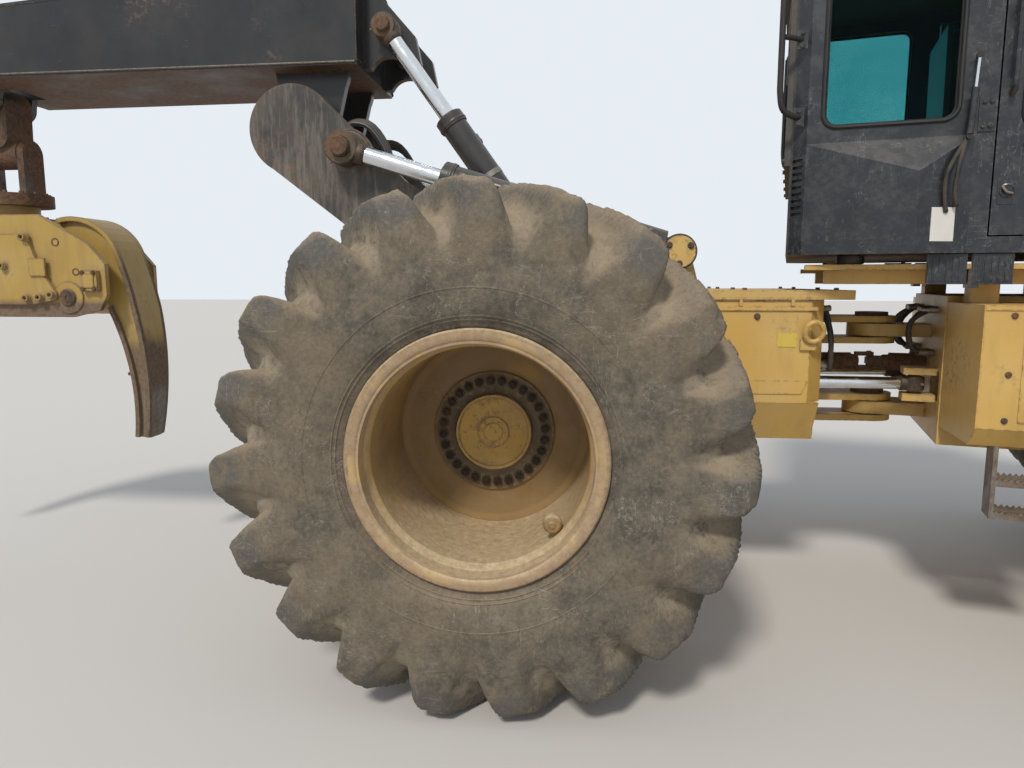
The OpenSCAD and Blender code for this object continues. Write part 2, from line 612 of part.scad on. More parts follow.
// Screens: the mesh over the rear window.
module cab_screens() front() color("black") translate([cab_rear - 22, 0, 0]) difference() {
    box([0, -cab_half_w + 60, sill_z - 90], [21.7, cab_half_w - 60, head_rail - 30]);
    for (i = [-5:5], j = [0:6])
        box([-1, i * 108 - 40, sill_z - 40 + j * 122], [23, i * 108 + 40, sill_z + 50 + j * 122]);
}

// Operator's seat on a plinth.
module seat() front() color("dimgray") {
    box([300, -200, cab_floor_z + 40 + pin_gap], [700, 200, cab_floor_z + 300]);
    translate([0, 0, cab_floor_z]) {
        plate([[270, 299], [770, 299], [800, 340], [790, 410], [740, 430], [380, 405], [270, 430]], -260, 260);
        plate([[225, 380], [345, 400], [310, 700], [300, 1000], [270, 1050], [220, 1050], [200, 1000],
            [205, 600]], -240, 240);
        pair() plate([[250, 560], [640, 560], [660, 590], [640, 610], [250, 610]], -300, -239);
    }
}

// Brush guard: two tubes from the hood's front to feet under the roof's overhang.
module brush_guard() front() color("black") pair() {
    low = [2640, hood_front_z - 60];
    high = [1215, head_rail - 40];
    translate([0, -hood_half_w - 40, 0]) along(low, high) cylinder(r = 30, h = norm(high - low), $fn = 36);
    box([2580, -hood_half_w - 70, low[1] - 60], [2700, -hood_half_w - pin_gap, low[1] + 20]);
    box([1165, -hood_half_w - 80, head_rail - 60], [1265, -hood_half_w, head_rail]);
}

// Doors: a framed leaf with a window, hinged at its front edge on two knuckles.
module door() color("black") difference() {
    union() {
        box([door_rear + 6, -cab_half_w, cab_floor_z + 66],
            [door_front - 6, -cab_half_w + cab_wall, head_rail - 46]);
        for (z = hinge_zs) {
            translate([door_front - 6, -cab_half_w - 20, z]) cylinder(r = 16, h = 60, $fn = 36);
            box([door_front - 22, -cab_half_w - 20, z], [door_front - 6, -cab_half_w + 1, z + 60]);
        }
    }
    window(door_rear + 90, door_front - 90, sill_z, head_rail - 130, 50, -900, 0);
    box([door_rear + 90, -cab_half_w - 1, cab_floor_z + 130], [door_front - 90, -cab_half_w + 12, sill_z - 60]);
    for (z = hinge_zs) translate([door_front - 6, -cab_half_w - 20, z - 1])
        cylinder(r = 8 + pin_gap, h = 62, $fn = 36);
}
module door_right() front() door();
module door_left() front() left_side() door();

// Arch: two cranked arms with round heads, joined by cross tubes, with the pivot pins fixed in
// them.
arch_elbow = [-567, 1833];
module arch() rear() color("dimgray") {
    pair() link(arch_elbow, boom_pivot, 165, arch_head_r, -arch_half_w, -arch_half_w + arch_arm_w);
    pair() link(arch_pivot, arch_elbow, 130, 165, -arch_half_w, -arch_half_w + arch_arm_w);
    pair() bar(arch_ram_eye, 95, -arch_half_w, -arch_half_w + arch_arm_w);
    bar(arch_pivot + (arch_elbow - arch_pivot) * 0.62, 85, -arch_half_w + 10, arch_half_w - 10);
    pair() bar(arch_pivot, arch_pin_r, -arch_half_w - 50, -boom_ram[4] + 45);
    bar(boom_pivot, arch_pin_r, -arch_half_w + 10, arch_half_w - 10);
}

module arch_barrels() rear() color("black") pair() barrel(arch_ram_base, arch_ram_eye, arch_ram, arch_ram[5]);
module arch_rods() rear() color("silver") pair()
    rod(arch_ram_base, arch_ram_eye, arch_ram, 2 * (arch_ram[4] - arch_half_w - side_gap));
module boom_barrels() rear() color("black") pair() barrel(arch_pivot, boom_ram_eye, boom_ram, arch_pin_r);
module boom_rods() rear() color("silver") pair()
    rod(arch_pivot, boom_ram_eye, boom_ram, 2 * (boom_ram[4] - nose_half_w - side_gap));

// Boom: a wide box beam with a narrower nose of two cheeks in front, scalloped under the eyes of
// its rams, and an eye for the crosshead at its tip.
box_front = -710;
boom_under = 2505;
boom_cheek = 45;
scallop = [-585, 2470];
module boom() rear() color("dimgray") difference() {
    union() {
        plate([[boom_tip[0], boom_under - 20], [box_front, boom_under], [box_front, 2960],
            [boom_tip[0], 2800]], -boom_half_w, boom_half_w);
        pair() plate([[box_front - 60, boom_under + 5], [-463, boom_under + 5], [-431, 2528], [-456, 2650],
            [-726, 2955], [box_front - 60, 2955]], -nose_half_w, -nose_half_w + boom_cheek);
        plate([[box_front - 40, boom_under + 170], [-690, boom_under + 170], [-660, 2850],
            [-726, 2950], [box_front - 40, 2950]], -nose_half_w + 1, nose_half_w - 1);
        pair() bar(boom_ram_eye, 68, -nose_half_w, -nose_half_w + boom_cheek + 25);
        pair() link(boom_pivot, [-960, boom_under + 10], 130, 180, -nose_half_w, -nose_half_w + boom_cheek);
        pair() link(swing_pin, boom_tip + [0, 100], 70, 110, -tip_fork, -tip_fork + 40);
    }
    plate([[boom_tip[0] - 200, 2300], [boom_tip[0] + 160, 2300], [boom_tip[0] + 160, 2900],
        [boom_tip[0] - 200, 2900]], -tip_fork + 40, tip_fork - 40);
    bar(scallop, 95, -boom_half_w, boom_half_w);
    bar(boom_pivot, arch_pin_r + pin_gap, -400, 400);
    bar(swing_pin, 40 + pin_gap, -400, 400);
}

// Crosshead: the first link under the boom tip, swinging fore and aft.
tilt_z = swing_pin[1] - 260;
module crosshead() rear() color("dimgray") difference() {
    union() {
        link(swing_pin, [swing_pin[0], tilt_z + 90], 75, 70, -94, 94);
        bar(swing_pin, 40, -150, 150);
        translate([swing_pin[0] - 90, 0, tilt_z]) rotate([0, 90, 0]) cylinder(r = 75, h = 180, $fn = fine);
    }
    translate([swing_pin[0] - 300, 0, tilt_z]) rotate([0, 90, 0]) cylinder(r = 40 + pin_gap, h = 600, $fn = fine);
}

// Yoke: the second link, swinging sideways, with the rotator under it.
head_top = 1850;
yoke_low = head_top + 60;
module yoke() rear() color("dimgray") translate([swing_pin[0], 0, 0]) {
    for (s = [-1, 1]) translate([s * 115, 0, tilt_z]) rotate([0, 90, 0])
        cylinder(r = 75, h = 36, center = true, $fn = fine);
    translate([-133, 0, tilt_z]) rotate([0, 90, 0]) cylinder(r = 40, h = 266, $fn = fine);
    for (s = [-1, 1]) box([s * 115 - 18, -75, yoke_low + 60], [s * 115 + 18, 75, tilt_z]);
    translate([0, 0, yoke_low]) cylinder(r = 190, h = 61, $fn = fine);
}

// Grapple head: two side plates with a top plate that carries the rotator, tied at the bottom.
tong_pin_z = 1430;
head_plate = 30;
head_low = 1330;
module grapple_head() rear() color("goldenrod") translate([swing_pin[0], 0, 0]) {
    half = [[450, head_low], [600, head_low + 35], [645, 1440], [645, 1600], [560, 1700],
        [300, head_top]];
    pair() plate(concat(half, [for (i = [len(half) - 1:-1:0]) [-half[i][0], half[i][1]]]),
        -head_half_w, -head_half_w + head_plate);
    box([-160, -head_half_w, head_top - 30], [160, head_half_w, head_top]);
    box([-200, -head_half_w, head_low], [200, head_half_w, head_low + 30]);
    translate([0, 0, head_top - 1]) cylinder(r = 120, h = yoke_low - head_top + 1 - pin_gap, $fn = fine);
    for (s = [-1, 1]) bar([s * tong_half_gap, tong_pin_z], 45, -head_half_w - 10, head_half_w + 10);
    for (s = [-1, 1]) pair() bar([s * tong_half_gap, tong_pin_z], 80, -head_half_w - 8, -head_half_w + 1);
    cover = [[250, head_low + 65], [385, head_low + 90], [385, head_low + 125], [310, head_low + 240],
        [240, 1750], [205, 1750]];
    pair() plate(concat(cover, [for (i = [len(cover) - 1:-1:0]) [-cover[i][0], cover[i][1]]]),
        -head_half_w - 22, -head_half_w + 1);
    for (s = [-1, 1]) pair() box([s * 570 - 45, -head_half_w - 30, 1465], [s * 570 + 45, -head_half_w + 1, 1565]);
}

// Tongs: curved arms tapering to their tips and forked round the ram, with the ram's pin across
// the fork.
lobe = [tong_half_gap - 40, tong_pin_z + 140];
ram_room = tong_ram[0] + 2 * side_gap;
tong_tip_w = 100;
function arc(c, r, a0, a1, n) = [for (i = [0:n]) let (a = a0 + (a1 - a0) * i / n) c + r * [cos(a), sin(a)]];
module tong(pin) color("goldenrod") {
    difference() {
        union() {
            plate(concat(arc(tong_crown, tong_crown_r, 150, tong_join, 12),
                arc(tong_back, tong_back_r, tong_join - 1, -11, 12),
                arc(tong_inner, tong_inner_r, -9.9, 25, 12), [[400, 1400], [330, 1560]]),
                -tong_w / 2, tong_w / 2);
            bar([tong_half_gap, tong_pin_z], 90, -head_half_w + head_plate + side_gap,
                head_half_w - head_plate - side_gap);
        }
        pair() rotate([90, 0, 90]) linear_extrude(2000) polygon([[-tong_w / 2 - 1, 1360],
            [-tong_w / 2, 1360], [-tong_tip_w / 2, 640], [-tong_w / 2 - 1, 640]]);
        bar([tong_half_gap, tong_pin_z], 45 + pin_gap, -400, 400);
        bar(lobe, ram_room, -ram_room, ram_room);
        plate([for (a = [[310, 0], [310, 450], [48, 450], [48, 0]])
            lobe + ram_room * [cos(a[0]), sin(a[0])]
            + a[1] * (a[0] > 180 ? [cos(220), sin(220)] : [cos(138), sin(138)])], -ram_room, ram_room);
    }
    if (pin) bar(lobe, tong_ram[5], -tong_w / 2 + 1, tong_w / 2 - 1);
}
module tong_front() rear() translate([swing_pin[0], 0, 0]) tong(false);
module tong_rear() rear() translate([swing_pin[0], 0, 0]) mirror([1, 0, 0]) tong(true);

tong_eye_a = [-lobe[0], lobe[1]];
module tong_barrel() rear() color("black") translate([swing_pin[0], 0, 0])
    barrel(tong_eye_a, lobe, tong_ram, tong_ram[5]);
module tong_rod() rear() color("silver") translate([swing_pin[0], 0, 0])
    rod(tong_eye_a, lobe, tong_ram, 2 * (ram_room - side_gap));

// Steering rams, laid flat beside the hitch.
module flat_along(a, b) translate([a[0], a[1], steer_ram[4]])
    rotate([0, 0, atan2(b[1] - a[1], b[0] - a[0])]) rotate([0, 90, 0]) rotate([0, 0, 90]) children();
function steer_a(side) = [steer_ram_base[0], side * steer_ram_base[1]];
function steer_b(side) = [front_x(steer_ram_eye[0], side * steer_ram_eye[1]),
    front_y(steer_ram_eye[0], side * steer_ram_eye[1])];
module steer_barrel(side) rear() color("black") flat_along(steer_a(side), steer_b(side))
    ram_barrel([steer_ram[0] - 15, steer_ram[1], steer_ram[2]], steer_ram[5]);
module steer_rod(side) rear() color("silver") flat_along(steer_b(side), steer_a(side))
    ram_rod(steer_ram, steer_rod_l, 80);
module steer_barrel_right() steer_barrel(-1);
module steer_rod_right() steer_rod(-1);
module steer_barrel_left() steer_barrel(1);
module steer_rod_left() steer_rod(1);

// Blade: a curved plate with a cutting edge and ribs behind, on two push arms.
module blade() front() color("goldenrod") {
    plate(concat(arc(blade_curve, blade_curve_r, 150, 209, 10),
        arc(blade_curve, blade_curve_r - blade_sheet, 209, 150, 10)), -blade_w / 2, blade_w / 2);
    plate(concat(arc(blade_curve, blade_curve_r - 2, 203, 180 + blade_edge[0], 3),
        arc(blade_curve, blade_curve_r - blade_edge[1], 180 + blade_edge[0], 203, 3)),
        -blade_w / 2, blade_w / 2);
    for (rib = [0, 0.5, 0.75, 0.97]) pair() plate(concat(arc(blade_curve, blade_curve_r - 1, 154, 206, 8),
        [[3200, 345], [3115, 560], [3115, 840], [3200, 1050]]),
        -rib * blade_w / 2 - 12, -rib * blade_w / 2 + 12);
    for (z = [520, 880]) box([3120, -blade_w / 2 + 60, z - 12], [3200, blade_w / 2 - 60, z + 12]);
    pair() plate([[2250, 735], [2750, 620], [3200, 440], [3200, 600], [2800, 760], [2250, 865]],
        -530, -460);
    pair() bar(blade_pivot, 85, -530, -460);
    pair() bar(blade_pivot, 40, -540, -front_half_w + 40);
    pair() plate([[2700, 640], [2800, 640], [2820, 740], [2740, 760], [2690, 740]],
        -461, -blade_ram[4] - 38);
}
module blade_barrels() front() color("black") pair()
    barrel(blade_ram_base, blade_ram_eye, blade_ram, blade_ram[5]);
module blade_rods() front() color("silver") pair()
    rod(blade_ram_base, blade_ram_eye, blade_ram, 66);

rear_frame();
rear_axle();
hitch_pins();
butt_plate();
front_frame();
front_axle();
engine();
hood();
grille();
stacks();
fuel_tank();
tool_box();
steps();
cab_shell();
cab_roof();
cab_glass();
cab_screens();
seat();
brush_guard();
tyre_rear_right();
tyre_rear_left();
tyre_front_right();
tyre_front_left();
wheel_rear_right();
wheel_rear_left();
wheel_front_right();
wheel_front_left();
arch();
arch_barrels();
arch_rods();
boom();
boom_barrels();
boom_rods();
crosshead();
yoke();
grapple_head();
tong_front();
tong_rear();
tong_barrel();
tong_rod();
steer_barrel_right();
steer_rod_right();
steer_barrel_left();
steer_rod_left();
blade();
blade_barrels();
blade_rods();
door_right();
door_left();
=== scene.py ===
import json
import math

import bmesh
import bpy
import numpy as np
from mathutils import Matrix, Vector, noise


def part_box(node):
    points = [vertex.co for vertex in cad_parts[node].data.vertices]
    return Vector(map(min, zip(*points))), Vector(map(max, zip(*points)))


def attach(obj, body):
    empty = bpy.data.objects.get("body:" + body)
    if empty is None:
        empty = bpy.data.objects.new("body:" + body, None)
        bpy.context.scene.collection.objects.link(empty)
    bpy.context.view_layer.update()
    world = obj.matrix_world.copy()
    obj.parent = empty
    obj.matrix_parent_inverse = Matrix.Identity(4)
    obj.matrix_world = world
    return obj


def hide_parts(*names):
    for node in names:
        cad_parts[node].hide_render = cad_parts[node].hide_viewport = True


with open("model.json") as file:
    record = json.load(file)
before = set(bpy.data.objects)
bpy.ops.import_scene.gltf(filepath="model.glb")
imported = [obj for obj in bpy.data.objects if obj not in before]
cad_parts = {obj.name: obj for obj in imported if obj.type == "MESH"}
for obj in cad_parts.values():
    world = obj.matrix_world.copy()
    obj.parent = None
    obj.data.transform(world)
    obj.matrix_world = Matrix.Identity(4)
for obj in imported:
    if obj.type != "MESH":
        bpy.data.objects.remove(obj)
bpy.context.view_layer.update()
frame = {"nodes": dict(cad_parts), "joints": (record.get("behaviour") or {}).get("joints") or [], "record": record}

# The machine stands on its four tyres, its front half turned to the right at the hitch.
# Every piece below is drawn from the rear axle or from the hitch, at ground level.
def shifted(x, y, z):
    return Matrix.Translation((x, y, z))


def spun(angle, axis):
    return Matrix.Rotation(angle, 4, axis)


def flipped(side):
    """Side 1 stays as drawn, side -1 is its mirror image across the middle."""
    return Matrix.Scale(side, 4, (0, 1, 0))


axle_low, axle_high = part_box("rear_axle")
rear_axle = Vector(((axle_low.x + axle_high.x) / 2, (axle_low.y + axle_high.y) / 2, 0))
joints = {joint["name"]: joint for joint in frame["joints"]}
hitch = Vector(joints["steering"]["pos_m"]) * Vector((1, 1, 0))
front_x = Vector(joints["roll_front_right"]["axis"]).cross(Vector((0, 0, 1)))
parked_angle = math.atan2(front_x.y, front_x.x)
on_rear = Matrix.Translation(rear_axle)
on_front = Matrix.Translation(hitch) @ spun(parked_angle, "Z")
HALF_BASE = hitch.x - rear_axle.x

# The camera stands at the photograph's place: beside the rear right wheel at head height,
# with a wide lens turned a little to the rear and down.
camera = bpy.data.objects.new("camera", bpy.data.cameras.new("camera"))
bpy.context.scene.collection.objects.link(camera)
bpy.context.scene.camera = camera
camera.data.sensor_width = 36
camera.data.lens = 26
camera.data.clip_start = 0.05
camera.location = rear_axle + Vector((0.335, -3.822, 1.507))
camera.rotation_euler = (math.radians(90 - 7.82), 0, math.radians(5.32))

# The floor is a plain pale studio floor, with a wide soft lamp high on the camera's left
# and an even surround that looks paler to the camera than the light it gives.
def add_node(tree, kind, inputs=None, **settings):
    """A node with its settings, and with its inputs linked or set to constants."""
    made = tree.nodes.new(kind)
    for key, value in settings.items():
        setattr(made, key, value)
    for key, value in (inputs or {}).items():
        if isinstance(value, bpy.types.NodeSocket):
            tree.links.new(value, made.inputs[key])
        else:
            made.inputs[key].default_value = value
    return made


FLOOR_HALF = 60
floor_mesh = bpy.data.meshes.new("studio_floor")
floor_mesh.from_pydata([(x * FLOOR_HALF, y * FLOOR_HALF, 0) for x,
                        y in ((-1, -1), (1, -1), (1, 1), (-1, 1))], [], [(0, 1, 2, 3)])
studio_floor = bpy.data.objects.new("studio_floor", floor_mesh)
bpy.context.scene.collection.objects.link(studio_floor)
floor_look = bpy.data.materials.new("studio_floor")
floor_look.use_nodes = True
floor_shader = floor_look.node_tree.nodes["Principled BSDF"]
floor_shader.inputs["Base Color"].default_value = (0.62, 0.60, 0.57, 1)
floor_shader.inputs["Roughness"].default_value = 0.9
floor_mesh.materials.append(floor_look)

LIGHT_GIVEN = (0.53, 0.565, 0.62, 1)
SEEN_PALE = (0.80, 0.85, 0.90, 1)
world = bpy.data.worlds.new("studio")
bpy.context.scene.world = world
world.use_nodes = True
surround = world.node_tree.nodes["Background"]
surround.inputs["Strength"].default_value = 1.0
ray = add_node(world.node_tree, "ShaderNodeLightPath").outputs
seen = ray["Is Camera Ray"]
for kind in ("Is Glossy Ray", "Is Transmission Ray"):
    seen = add_node(world.node_tree, "ShaderNodeMath", {0: seen, 1: ray[kind]},
                    operation="MAXIMUM").outputs[0]
pale = add_node(world.node_tree, "ShaderNodeMix", {0: seen, 6: LIGHT_GIVEN, 7: SEEN_PALE},
                data_type="RGBA")
world.node_tree.links.new(pale.outputs[2], surround.inputs["Color"])

sun = bpy.data.objects.new("soft_key", bpy.data.lights.new("soft_key", "SUN"))
bpy.context.scene.collection.objects.link(sun)
sun.data.energy = 2.1
sun.data.angle = math.radians(9)
sun.data.color = (1.0, 0.95, 0.87)
sun.rotation_euler = (math.radians(42), math.radians(-14), 0)
bpy.context.scene.view_settings.view_transform = "Standard"


# Painted plate is mild steel under yellow or black enamel. It has faded, its edges are worn to
# rust, and dust lies on what faces up. The same steps make bare steel, castings and rubber.
class Surface:
    def __init__(self, name, roughness=0.6, metallic=0.0):
        self.material = bpy.data.materials.new(name)
        self.material.use_nodes = True
        self.tree = self.material.node_tree
        self.shader = self.tree.nodes["Principled BSDF"]
        self.shader.inputs["Roughness"].default_value = roughness
        self.shader.inputs["Metallic"].default_value = metallic
        self.place = self.node("ShaderNodeTexCoord").outputs["Object"]

    def node(self, kind, inputs=None, **settings):
        return add_node(self.tree, kind, inputs, **settings)

    def noise(self, scale, detail=4.0, stretch=(1, 1, 1), rough=0.6, seed=0.0):
        moved = self.node("ShaderNodeMapping", {"Vector": self.place, "Scale": stretch,
                                                "Location": (seed, seed * 1.7, seed * 0.6)})
        return self.node("ShaderNodeTexNoise", {"Vector": moved.outputs["Vector"], "Scale": scale,
                                                "Detail": detail,
                                                "Roughness": rough}).outputs["Fac"]

    def step(self, value, low, high):
        return self.node("ShaderNodeMapRange", {"Value": value, "From Min": low, "From Max": high},
                         clamp=True).outputs["Result"]

    def math(self, kind, a, b):
        return self.node("ShaderNodeMath", {0: a, 1: b}, operation=kind, use_clamp=True).outputs[0]

    def times(self, a, b):
        return self.math("MULTIPLY", a, b)

    def either(self, a, b):
        return self.math("MAXIMUM", a, b)

    def plus(self, a, b):
        return self.math("ADD", a, b)

    def minus(self, a, b):
        return self.math("SUBTRACT", a, b)

    def mix(self, factor, a, b):
        a, b = [c if isinstance(c, bpy.types.NodeSocket) else (*c, 1) for c in (a, b)]
        return self.node("ShaderNodeMix", {0: factor, 6: a, 7: b}, data_type="RGBA").outputs[2]

    def coat(self, mask, tint, share=None):
        """Lay a tint over the colour so far, where the mask says."""
        mask = mask if share is None else self.times(mask, share)
        self.colour = self.mix(mask, self.colour, tint)

    def blend(self, factor, a, b):
        return self.node("ShaderNodeMapRange", {"Value": factor, "To Min": a, "To Max": b},
                         clamp=True).outputs["Result"]

    def facing(self, axis):
        normal = self.node("ShaderNodeNewGeometry").outputs["Normal"]
        return self.node("ShaderNodeSeparateXYZ", {0: normal}).outputs[axis]

    def at(self, axis):
        return self.node("ShaderNodeSeparateXYZ", {0: self.place}).outputs[axis]

    def edge(self, radius):
        rounded = self.node("ShaderNodeBevel", {"Radius": radius}, samples=4).outputs["Normal"]
        flat = self.node("ShaderNodeNewGeometry").outputs["Normal"]
        same = self.node("ShaderNodeVectorMath", {0: rounded, 1: flat}, operation="DOT_PRODUCT")
        return self.step(same.outputs["Value"], 0.995, 0.93)

    def hollow(self, reach):
        open_share = self.node("ShaderNodeAmbientOcclusion", {"Distance": reach}, samples=4)
        return self.minus(1.0, open_share.outputs["AO"])

    def attribute(self, name):
        return self.node("ShaderNodeAttribute", attribute_name=name).outputs["Fac"]

    def bump(self, height, depth):
        bumped = {"Height": height, "Distance": depth, "Strength": 1.0}
        self.tree.links.new(self.node("ShaderNodeBump", bumped).outputs["Normal"],
                            self.shader.inputs["Normal"])

    def finish(self, roughness=None, metallic=None):
        for name, value in (("Base Color", self.colour), ("Roughness", roughness),
                            ("Metallic", metallic)):
            if value is not None:
                self.tree.links.new(value, self.shader.inputs[name])
        return self.material


RUST_DARK = (0.070, 0.034, 0.019)
RUST_LIGHT = (0.215, 0.112, 0.056)
DUST = (0.40, 0.30, 0.19)


def worn_paint(name, paint, faded, wear=0.5, dust=0.5, rust_below=0.0, gloss=0.42, scale=1.0,
               runs=0.0):
    s = Surface(name)
    broad = s.noise(2.2 * scale, 5, seed=3.1)
    fine = s.noise(38 * scale, 6, rough=0.7)
    speck = s.noise(140 * scale, 3, seed=7.7)
    streak = s.noise(16 * scale, 5, stretch=(1, 1, 0.16), seed=1.3)
    s.colour = s.mix(s.step(broad, 0.35, 0.68), paint, faded)
    s.coat(s.step(streak, 0.52, 0.75), tuple(0.55 * c for c in paint), 0.35)
    rust = s.mix(s.step(fine, 0.3, 0.7), RUST_DARK, RUST_LIGHT)
    worn = s.times(s.edge(0.012), s.step(fine, 0.62 - 0.35 * wear, 0.72 - 0.2 * wear))
    spots = s.times(s.step(broad, 0.64 - 0.2 * wear, 0.78 - 0.16 * wear), s.step(fine, 0.50, 0.60))
    worn = s.either(worn, s.times(spots, 0.8))
    if rust_below > 0:
        under = s.times(s.step(s.facing("Z"), -0.35, -0.8), s.step(broad, 0.2, 0.55))
        worn = s.either(worn, s.times(under, rust_below))
    s.coat(worn, rust)
    scratch = s.noise(9 * scale, 8, stretch=(1, 1, 9), rough=0.75, seed=5.5)
    s.coat(s.step(scratch, 0.66, 0.70), (0.42, 0.40, 0.37), 0.4)
    if runs:
        run = s.noise(15, 7, stretch=(2.6, 2.6, 0.32), rough=0.72, seed=8.8)
        s.coat(s.step(run, 0.47, 0.62), (0.20, 0.175, 0.145), runs)
    lying = s.times(s.step(s.facing("Z"), 0.25, 0.95), s.step(broad, 0.15, 0.6))
    film = s.times(s.step(s.noise(5 * scale, 7, seed=9.0), 0.38, 0.72), 0.45)
    dirt = s.times(s.either(s.either(lying, film), s.hollow(0.10)), dust)
    s.coat(dirt, DUST)
    rough = s.plus(s.blend(s.either(worn, dirt), gloss, 0.88), s.times(s.minus(speck, 0.5), 0.18))
    s.bump(s.plus(s.times(worn, s.times(fine, -0.6)), s.times(speck, 0.10)), 0.0025)
    return s.finish(rough)


yellow_paint = worn_paint("yellow_paint", (0.63, 0.375, 0.075), (0.66, 0.445, 0.150), 0.45, 0.50)
black_paint = worn_paint("black_paint", (0.018, 0.019, 0.022), (0.036, 0.037, 0.040), 0.42, 0.16,
                         rust_below=0.75, gloss=0.32)


def cab_enamel():
    s = Surface("cab_paint")
    broad = s.noise(2.6, 6, seed=3.1)
    fine = s.noise(46, 7, rough=0.74)
    mottled = s.noise(11, 9, rough=0.76, seed=6.6)
    s.colour = s.mix(s.step(broad, 0.35, 0.68), (0.016, 0.018, 0.022), (0.028, 0.031, 0.038))
    scuffed = s.times(s.step(mottled, 0.46, 0.66), s.step(fine, 0.36, 0.58))
    s.coat(scuffed, (0.098, 0.100, 0.104), 0.55)
    lines = 0.0
    for stretch, seed in (((0.9, 0.9, 3.2), 1.2), ((3.0, 3.0, 0.8), 4.4)):
        waves = s.noise(5.0, 5, stretch=stretch, rough=0.6, seed=seed)
        line = s.times(s.step(waves, 0.494, 0.500), s.step(waves, 0.506, 0.500))
        lines = s.either(s.times(line, s.step(s.noise(6, 5, seed=seed + 2), 0.52, 0.58)), lines)
    s.coat(lines, (0.27, 0.27, 0.27), 0.45)
    chipped = s.times(s.edge(0.007), s.step(fine, 0.50, 0.60))
    s.coat(chipped, (0.15, 0.135, 0.12), 0.7)
    reach = s.node("ShaderNodeVectorMath", {0: s.place, 1: tuple(front_x)},
                   operation="DOT_PRODUCT").outputs["Value"]
    rear_face = s.times(s.step(reach, hitch.dot(front_x) - 0.398, hitch.dot(front_x) - 0.404),
                        s.step(mottled, 0.30, 0.55))
    # Painted light: brown on the downward faces stands for warm light bounced up from sunlit sand.
    under = s.times(s.step(s.facing("Z"), -0.5, -0.9), s.step(fine, 0.20, 0.45))
    up = s.times(s.step(s.facing("Z"), 0.3, 0.95), s.step(broad, 0.2, 0.6))
    s.coat(rear_face, (0.155, 0.135, 0.110), 0.55)
    s.coat(under, (0.150, 0.095, 0.048), 0.9)
    s.coat(up, (0.27, 0.225, 0.165), 0.30)
    s.bump(s.plus(s.times(fine, 0.25), s.times(lines, -0.4)), 0.0012)
    dull = s.either(s.either(scuffed, under), rear_face)
    return s.finish(s.blend(dull, 0.30, 0.85))


cab_paint = cab_enamel()


# Bare steel parts, such as pins, links, steps and the engine, are cast or forged iron that
# has browned with rust and is rubbed bright where it works.
def bare_steel(name, dark, light, shine, rusty):
    s = Surface(name)
    broad = s.noise(6, 6, seed=2.0)
    fine = s.noise(60, 6, rough=0.75)
    s.colour = s.mix(s.step(fine, 0.3, 0.7), dark, light)
    rust = s.mix(s.step(fine, 0.35, 0.65), RUST_DARK, RUST_LIGHT)
    rusted = s.times(s.step(broad, 0.62 - 0.3 * rusty, 0.75 - 0.25 * rusty), rusty)
    s.coat(rusted, rust)
    s.coat(s.hollow(0.08), DUST, 0.5)
    s.bump(s.times(fine, 0.5), 0.002)
    return s.finish(s.blend(rusted, shine, 0.9), s.blend(rusted, 0.75, 0.0))


dark_iron = bare_steel("dark_iron", (0.045, 0.036, 0.030), (0.13, 0.10, 0.075), 0.55, 0.9)
worn_steel = bare_steel("worn_steel", (0.20, 0.18, 0.16), (0.34, 0.31, 0.28), 0.42, 0.5)


# Ram rods are hard chromed steel. A film of dust lies on them in patches, and the polish
# keeps a fine grain.
def chrome(name):
    s = Surface(name, 0.16, 1.0)
    film = s.step(s.noise(14, 6, seed=4.0), 0.45, 0.75)
    s.colour = s.mix(s.times(film, 0.35), (0.72, 0.74, 0.77), (0.46, 0.40, 0.32))
    s.bump(s.noise(220, 2), 0.0003)
    return s.finish(s.blend(film, 0.12, 0.45))


chrome_rod = chrome("chrome_rod")


# The cab glass is toughened glass with a green tint, a little paler in patches. One look
# serves all the panes.
def tinted_glass(name):
    s = Surface(name, 0.05)
    s.shader.inputs["Transmission Weight"].default_value = 1.0
    s.shader.inputs["IOR"].default_value = 1.12
    s.colour = s.mix(s.step(s.noise(3, 4), 0.4, 0.7), (0.17, 0.47, 0.49), (0.24, 0.54, 0.54))
    return s.finish()


cab_glass = tinted_glass("cab_glass")


def dress(node, look):
    """Give a CAD node its look, and leave its mesh as it is."""
    materials = frame["nodes"][node].data.materials
    materials.clear()
    materials.append(look)


looks = {"yellow": yellow_paint, "black": black_paint, "iron": dark_iron, "chrome_rod": chrome_rod,
         "rubber": dark_iron, "glass": cab_glass, "upholstery": cab_paint,}
for part in frame["record"]["subparts"]:
    dress(part["node"], looks[part["material_slot"]])
for node in ("cab_shell", "cab_roof", "door_right", "door_left", "cab_screens"):
    dress(node, cab_paint)


# The tyres are steel-belted forestry tyres. Deep lugs run in from each shoulder at a slant,
# staggered side to side, with torn and rounded edges and sand packed between them.
TYRE_R = 0.9275
LUGS = 19
FIRST_LUG = 0.2118
STATIONS_PER_LUG = 30
BEAD_R, BEAD_HALF_W = 0.4105, 0.300
TRACK = 2.32
AXLE_Z = TYRE_R


def through(points, count):
    """Smooth points (Catmull-Rom) at even steps along a path."""
    p = np.array([tuple(q) for q in points], float)
    p = np.vstack([2 * p[0] - p[1], p, 2 * p[-1] - p[-2]])
    out = []
    for t in np.linspace(0, len(points) - 1, count):
        i = min(int(t), len(points) - 2)
        f = t - i
        a, b, c, d = p[i], p[i + 1], p[i + 2], p[i + 3]
        out.append(0.5 * ((2 * b) + (c - a) * f + (2 * a - 5 * b + 4 * c - d) * f**2
                          + (3 * b - a - 3 * c + d) * f**3))
    return np.array(out)


